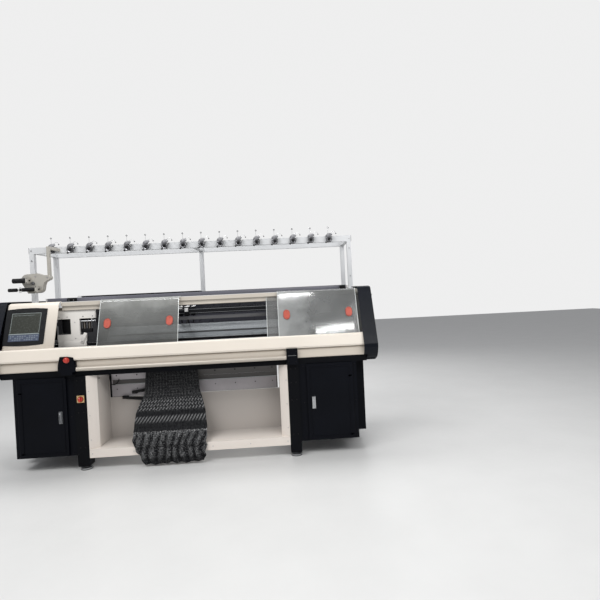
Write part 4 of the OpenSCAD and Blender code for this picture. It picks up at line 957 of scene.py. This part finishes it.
# Take-down rollers: bright collars between the rubber sleeves, and caps on the ends
for body, y in (("takedown_front", -0.0235), ("takedown_rear", 0.0235)):
    sh = Shape("zinc_steel").at(0, y, 0.8)
    for i in range(13):
        sh.turned([(0.0205, -0.004), (0.0223, -0.004), (0.0223, 0.004), (0.0205, 0.004)],
                  (-0.6 + i * 0.1, 0, 0), (1, 0, 0), 28)
    sh.use("pulley_alloy")
    for s in SIDES:
        sh.turned([(0, 0), (0.012, 0), (0.012, 0.006), (0, 0.007)], (s * 0.6705, 0, 0), (s, 0, 0), 20)
    sh.done(body + "_collars", "roller_rubber", body)

# Drive belt: teeth on the inner side of both runs
sh = Shape("belt_rubber")
for i in range(245):
    x = -1.22 + i * 0.01
    for z in (DRIVE_Z + 0.0346, DRIVE_Z - 0.0364):
        sh.box((x, 0.2368, z), (x + 0.005, 0.2572, z + 0.0018))
sh.done("belt_teeth", "belt_rubber")

# Drive motor: cooling ribs, connector, rear cap and flange screws
sh = Shape("dark_casting").at(DRIVE_X, 0, DRIVE_Z)
for i in range(8):
    sh.turned([(0.037, 0), (0.0405, 0), (0.0405, 0.004), (0.037, 0.004)], (0, 0.308 + i * 0.009, 0), BACK)
sh.use("black_plastic").box((-0.018, 0.312, 0.036), (0.018, 0.35, 0.056), r=0.003)
sh.turned([(0, 0), (0.036, 0), (0.037, 0.006), (0.03, 0.01), (0, 0.01)], (0, 0.3915, 0), BACK)
sh.use("screw_steel").screws([(x * 0.036, 0.3062, z * 0.032) for x in SIDES for z in SIDES], BACK)
sh.done("motor_ribs", "dark_casting")

# Pulleys: a dark ring and screws on each hub
for body, s in (("drive_pulley", 1), ("idler_pulley", -1)):
    sh = Shape("disc_dark").at(s * DRIVE_X, 0, DRIVE_Z)
    sh.turned([(0.02, 0), (0.036, 0), (0.036, 0.0006), (0.02, 0.0006)], (0, 0.233, 0), FRONT, 36)
    sh.use("screw_steel").screws([(a, 0.2324, b) for a, b in around(8, 0.028)[1::2]], FRONT, 0.0035)
    sh.done(body + "_screws", "pulley_alloy", body)

# Rear panel: screws and louvres
sh = Shape("screw_steel")
sh.screws([(-1.26 + i * 0.28, 0.4117, z) for i in range(10) for z in (0.757, 0.884)], BACK, 0.005, 0.0028)
sh.use("black_frame")
for x in (-0.98, -0.42, 0.42, 0.98):
    for k in range(7):
        z = 0.785 + k * 0.012
        sh.box((x - 0.085, 0.4114, z), (x + 0.085, 0.4142, z + 0.006), r=0.0012)
sh.done("rear_panel_trim", "black_frame")

# Rear covers: flat finger pulls, on the covers' slope, each with a dark sheet of painted shade where its hollow is
REAR_U = Vector((0, -0.0744, 0.3077)).normalized()
REAR_N = Vector((0, REAR_U.z, -REAR_U.y))
for side, xs, inset in (("left", (-0.96, -0.09), 0), ("right", (0.12, 1.2), 0.008)):
    sh = Shape()
    foot = Vector((0, 0.412 - inset, 0.96))
    for x in xs:
        # Seen from behind, X runs to the left
        sh.m = local(x, foot + REAR_U * 0.13, REAR_U, REAR_N) @ Matrix.Scale(-1, 4, (1, 0, 0))
        sh.use("black_plastic").box((-0.024, -0.04, 0.0001), (0.024, 0.04, 0.0016), r=0.0007)
        # Painted shade: a dark sheet where the pull's hollow is
        sh.use("painted_hollow_shade").box((-0.018, -0.034, 0.0015), (0.018, 0.034, 0.0019))
        sh.use("disc_dark").box((-0.018, 0.026, 0.0016), (0.018, 0.034, 0.003), r=0.0006)
    sh.done("rear_pulls_" + side, "rear_smoke", "rear_cover_" + side)

# Small boxes on the rear cover rail
sh = Shape("black_plastic")
sh.box((-1.136, 0.206, 1.243), (-1.066, 0.2371, 1.281), r=0.003)
sh.box((1.258, 0.206, 1.25), (1.306, 0.2371, 1.283), r=0.003)
sh.use("rail_steel").screws([(-1.12, 0.2058, 1.262), (-1.082, 0.2058, 1.262)], FRONT, 0.004)
sh.done("rear_rail_boxes", "black_plastic")

# Yarn stand: end caps and bolts
sh = Shape("black_plastic")
for s in SIDES:
    for y in (0.049, 0.434):
        sh.box((s * 1.3478, y, 1.656), (s * 1.351, y + 0.036, 1.708), r=0.0012)
sh.use("screw_steel").bolts([(s * 1.33, 0.0489, z) for s in SIDES for z in (1.36, 1.6, 1.682)], FRONT)
sh.bolts([(x, 0.4701, z) for x in (-1.33, 0, 1.33) for z in (0.77, 1.18, 1.64, 1.682)], BACK)
sh.done("stand_trim", "stand_white")

# End covers: screws and a vent strip
sh = Shape()
for s in SIDES:
    sh.use("black_plastic")
    for y, z in ((-0.43, 0.84), (-0.3, 1.19), (0.15, 1.238), (0.4, 1.2), (0.43, 0.76), (-0.38, 0.74)):
        sh.turned([(0, 0.0035), (0.004, 0.0035), (0.007, 0.002), (0.0075, 0)], (s * 1.4281, y, z), (s, 0, 0), 18)
    sh.use("dark_casting").box((s * 1.4215, -0.058, 1.12), (s * 1.4235, 0.108, 1.15), r=0.0008)
sh.done("end_cover_trim", "end_cover_plastic")

# Cabinet side boxes: seams and screws
sh = Shape()
for s in SIDES:
    sh.use("black_frame")
    for z in (0.15, 0.664):
        sh.box((s * 1.3479, -0.235, z), (s * 1.3492, 0.305, z + 0.006), r=0.0005)
    sh.use("black_plastic")
    sh.screws([(s * 1.3481, y, z) for y in (-0.22, 0.035, 0.29) for z in (0.17, 0.65)], (s, 0, 0), 0.0045)
sh.done("side_box_trim", "cabinet_paint")

# Black strip along the face of the front guide rail
sh = Shape("black_plastic").box((-SPAN, -0.2157, 0.894), (SPAN, -0.2151, 0.9175), r=0.0002, seg=1)
sh.done("front_rail_strip", "black_plastic")

# Floor
surface("floor_paint", (0.66, 0.66, 0.65), var=0.02, grain=0)
me = bpy.data.meshes.new("floor")
me.from_pydata([(-14, -14, 0), (14, -14, 0), (14, 14, 0), (-14, 14, 0)], [], [(0, 1, 2, 3)])
me.materials.append(MAT["floor_paint"])
floor = add_object("floor", me)

# World: soft light on the machine, and a paler backdrop behind it
world = bpy.data.worlds.new("world")
scene.world = world
world.use_nodes = True
wt = world.node_tree
feed(wt, wt.nodes["Background"], {"Color": (0.9, 0.91, 0.94, 1), "Strength": 0.42})
backdrop = node(wt, "ShaderNodeBackground", {"Color": (0.86, 0.86, 0.86, 1), "Strength": 1})
seen = node(wt, "ShaderNodeLightPath", out="Is Camera Ray")
either = node(wt, "ShaderNodeMixShader", {0: seen, 1: wt.nodes["Background"].outputs[0], 2: backdrop})
feed(wt, wt.nodes["World Output"], {"Surface": either})


def area(name, loc, target, size, power):
    """A rectangular lamp that faces a target."""
    lamp = bpy.data.lights.new(name, 'AREA')
    lamp.shape = 'RECTANGLE'
    lamp.size, lamp.size_y = size
    lamp.energy = power
    ob = add_object(name, lamp)
    ob.location = loc
    ob.rotation_euler = (Vector(target) - Vector(loc)).to_track_quat('-Z', 'Y').to_euler()


area("key", (-2, -3.4, 5), (0, 0, 0.9), (3.5, 1.2), 165)
area("fill", (3.2, -3.4, 3.2), (0.3, 0, 0.8), (2.5, 1.5), 60)
area("top", (0, 0.6, 4.4), (0, 0.1, 0.9), (4.5, 1.6), 100)
# Two narrow ceiling lamps that the right clear cover reflects
area("strip_high", (0.945, -2.31, 2.86), (0.83, -0.29, 1.205), (0.46, 0.06), 5)
area("strip_low", (1.46, -2.51, 2.4), (1.13, -0.38, 0.94), (0.52, 0.08), 7)
area("back", (1, 4, 3.2), (0, 0, 0.9), (3, 1.5), 60)

scene.view_settings.view_transform = 'Standard'
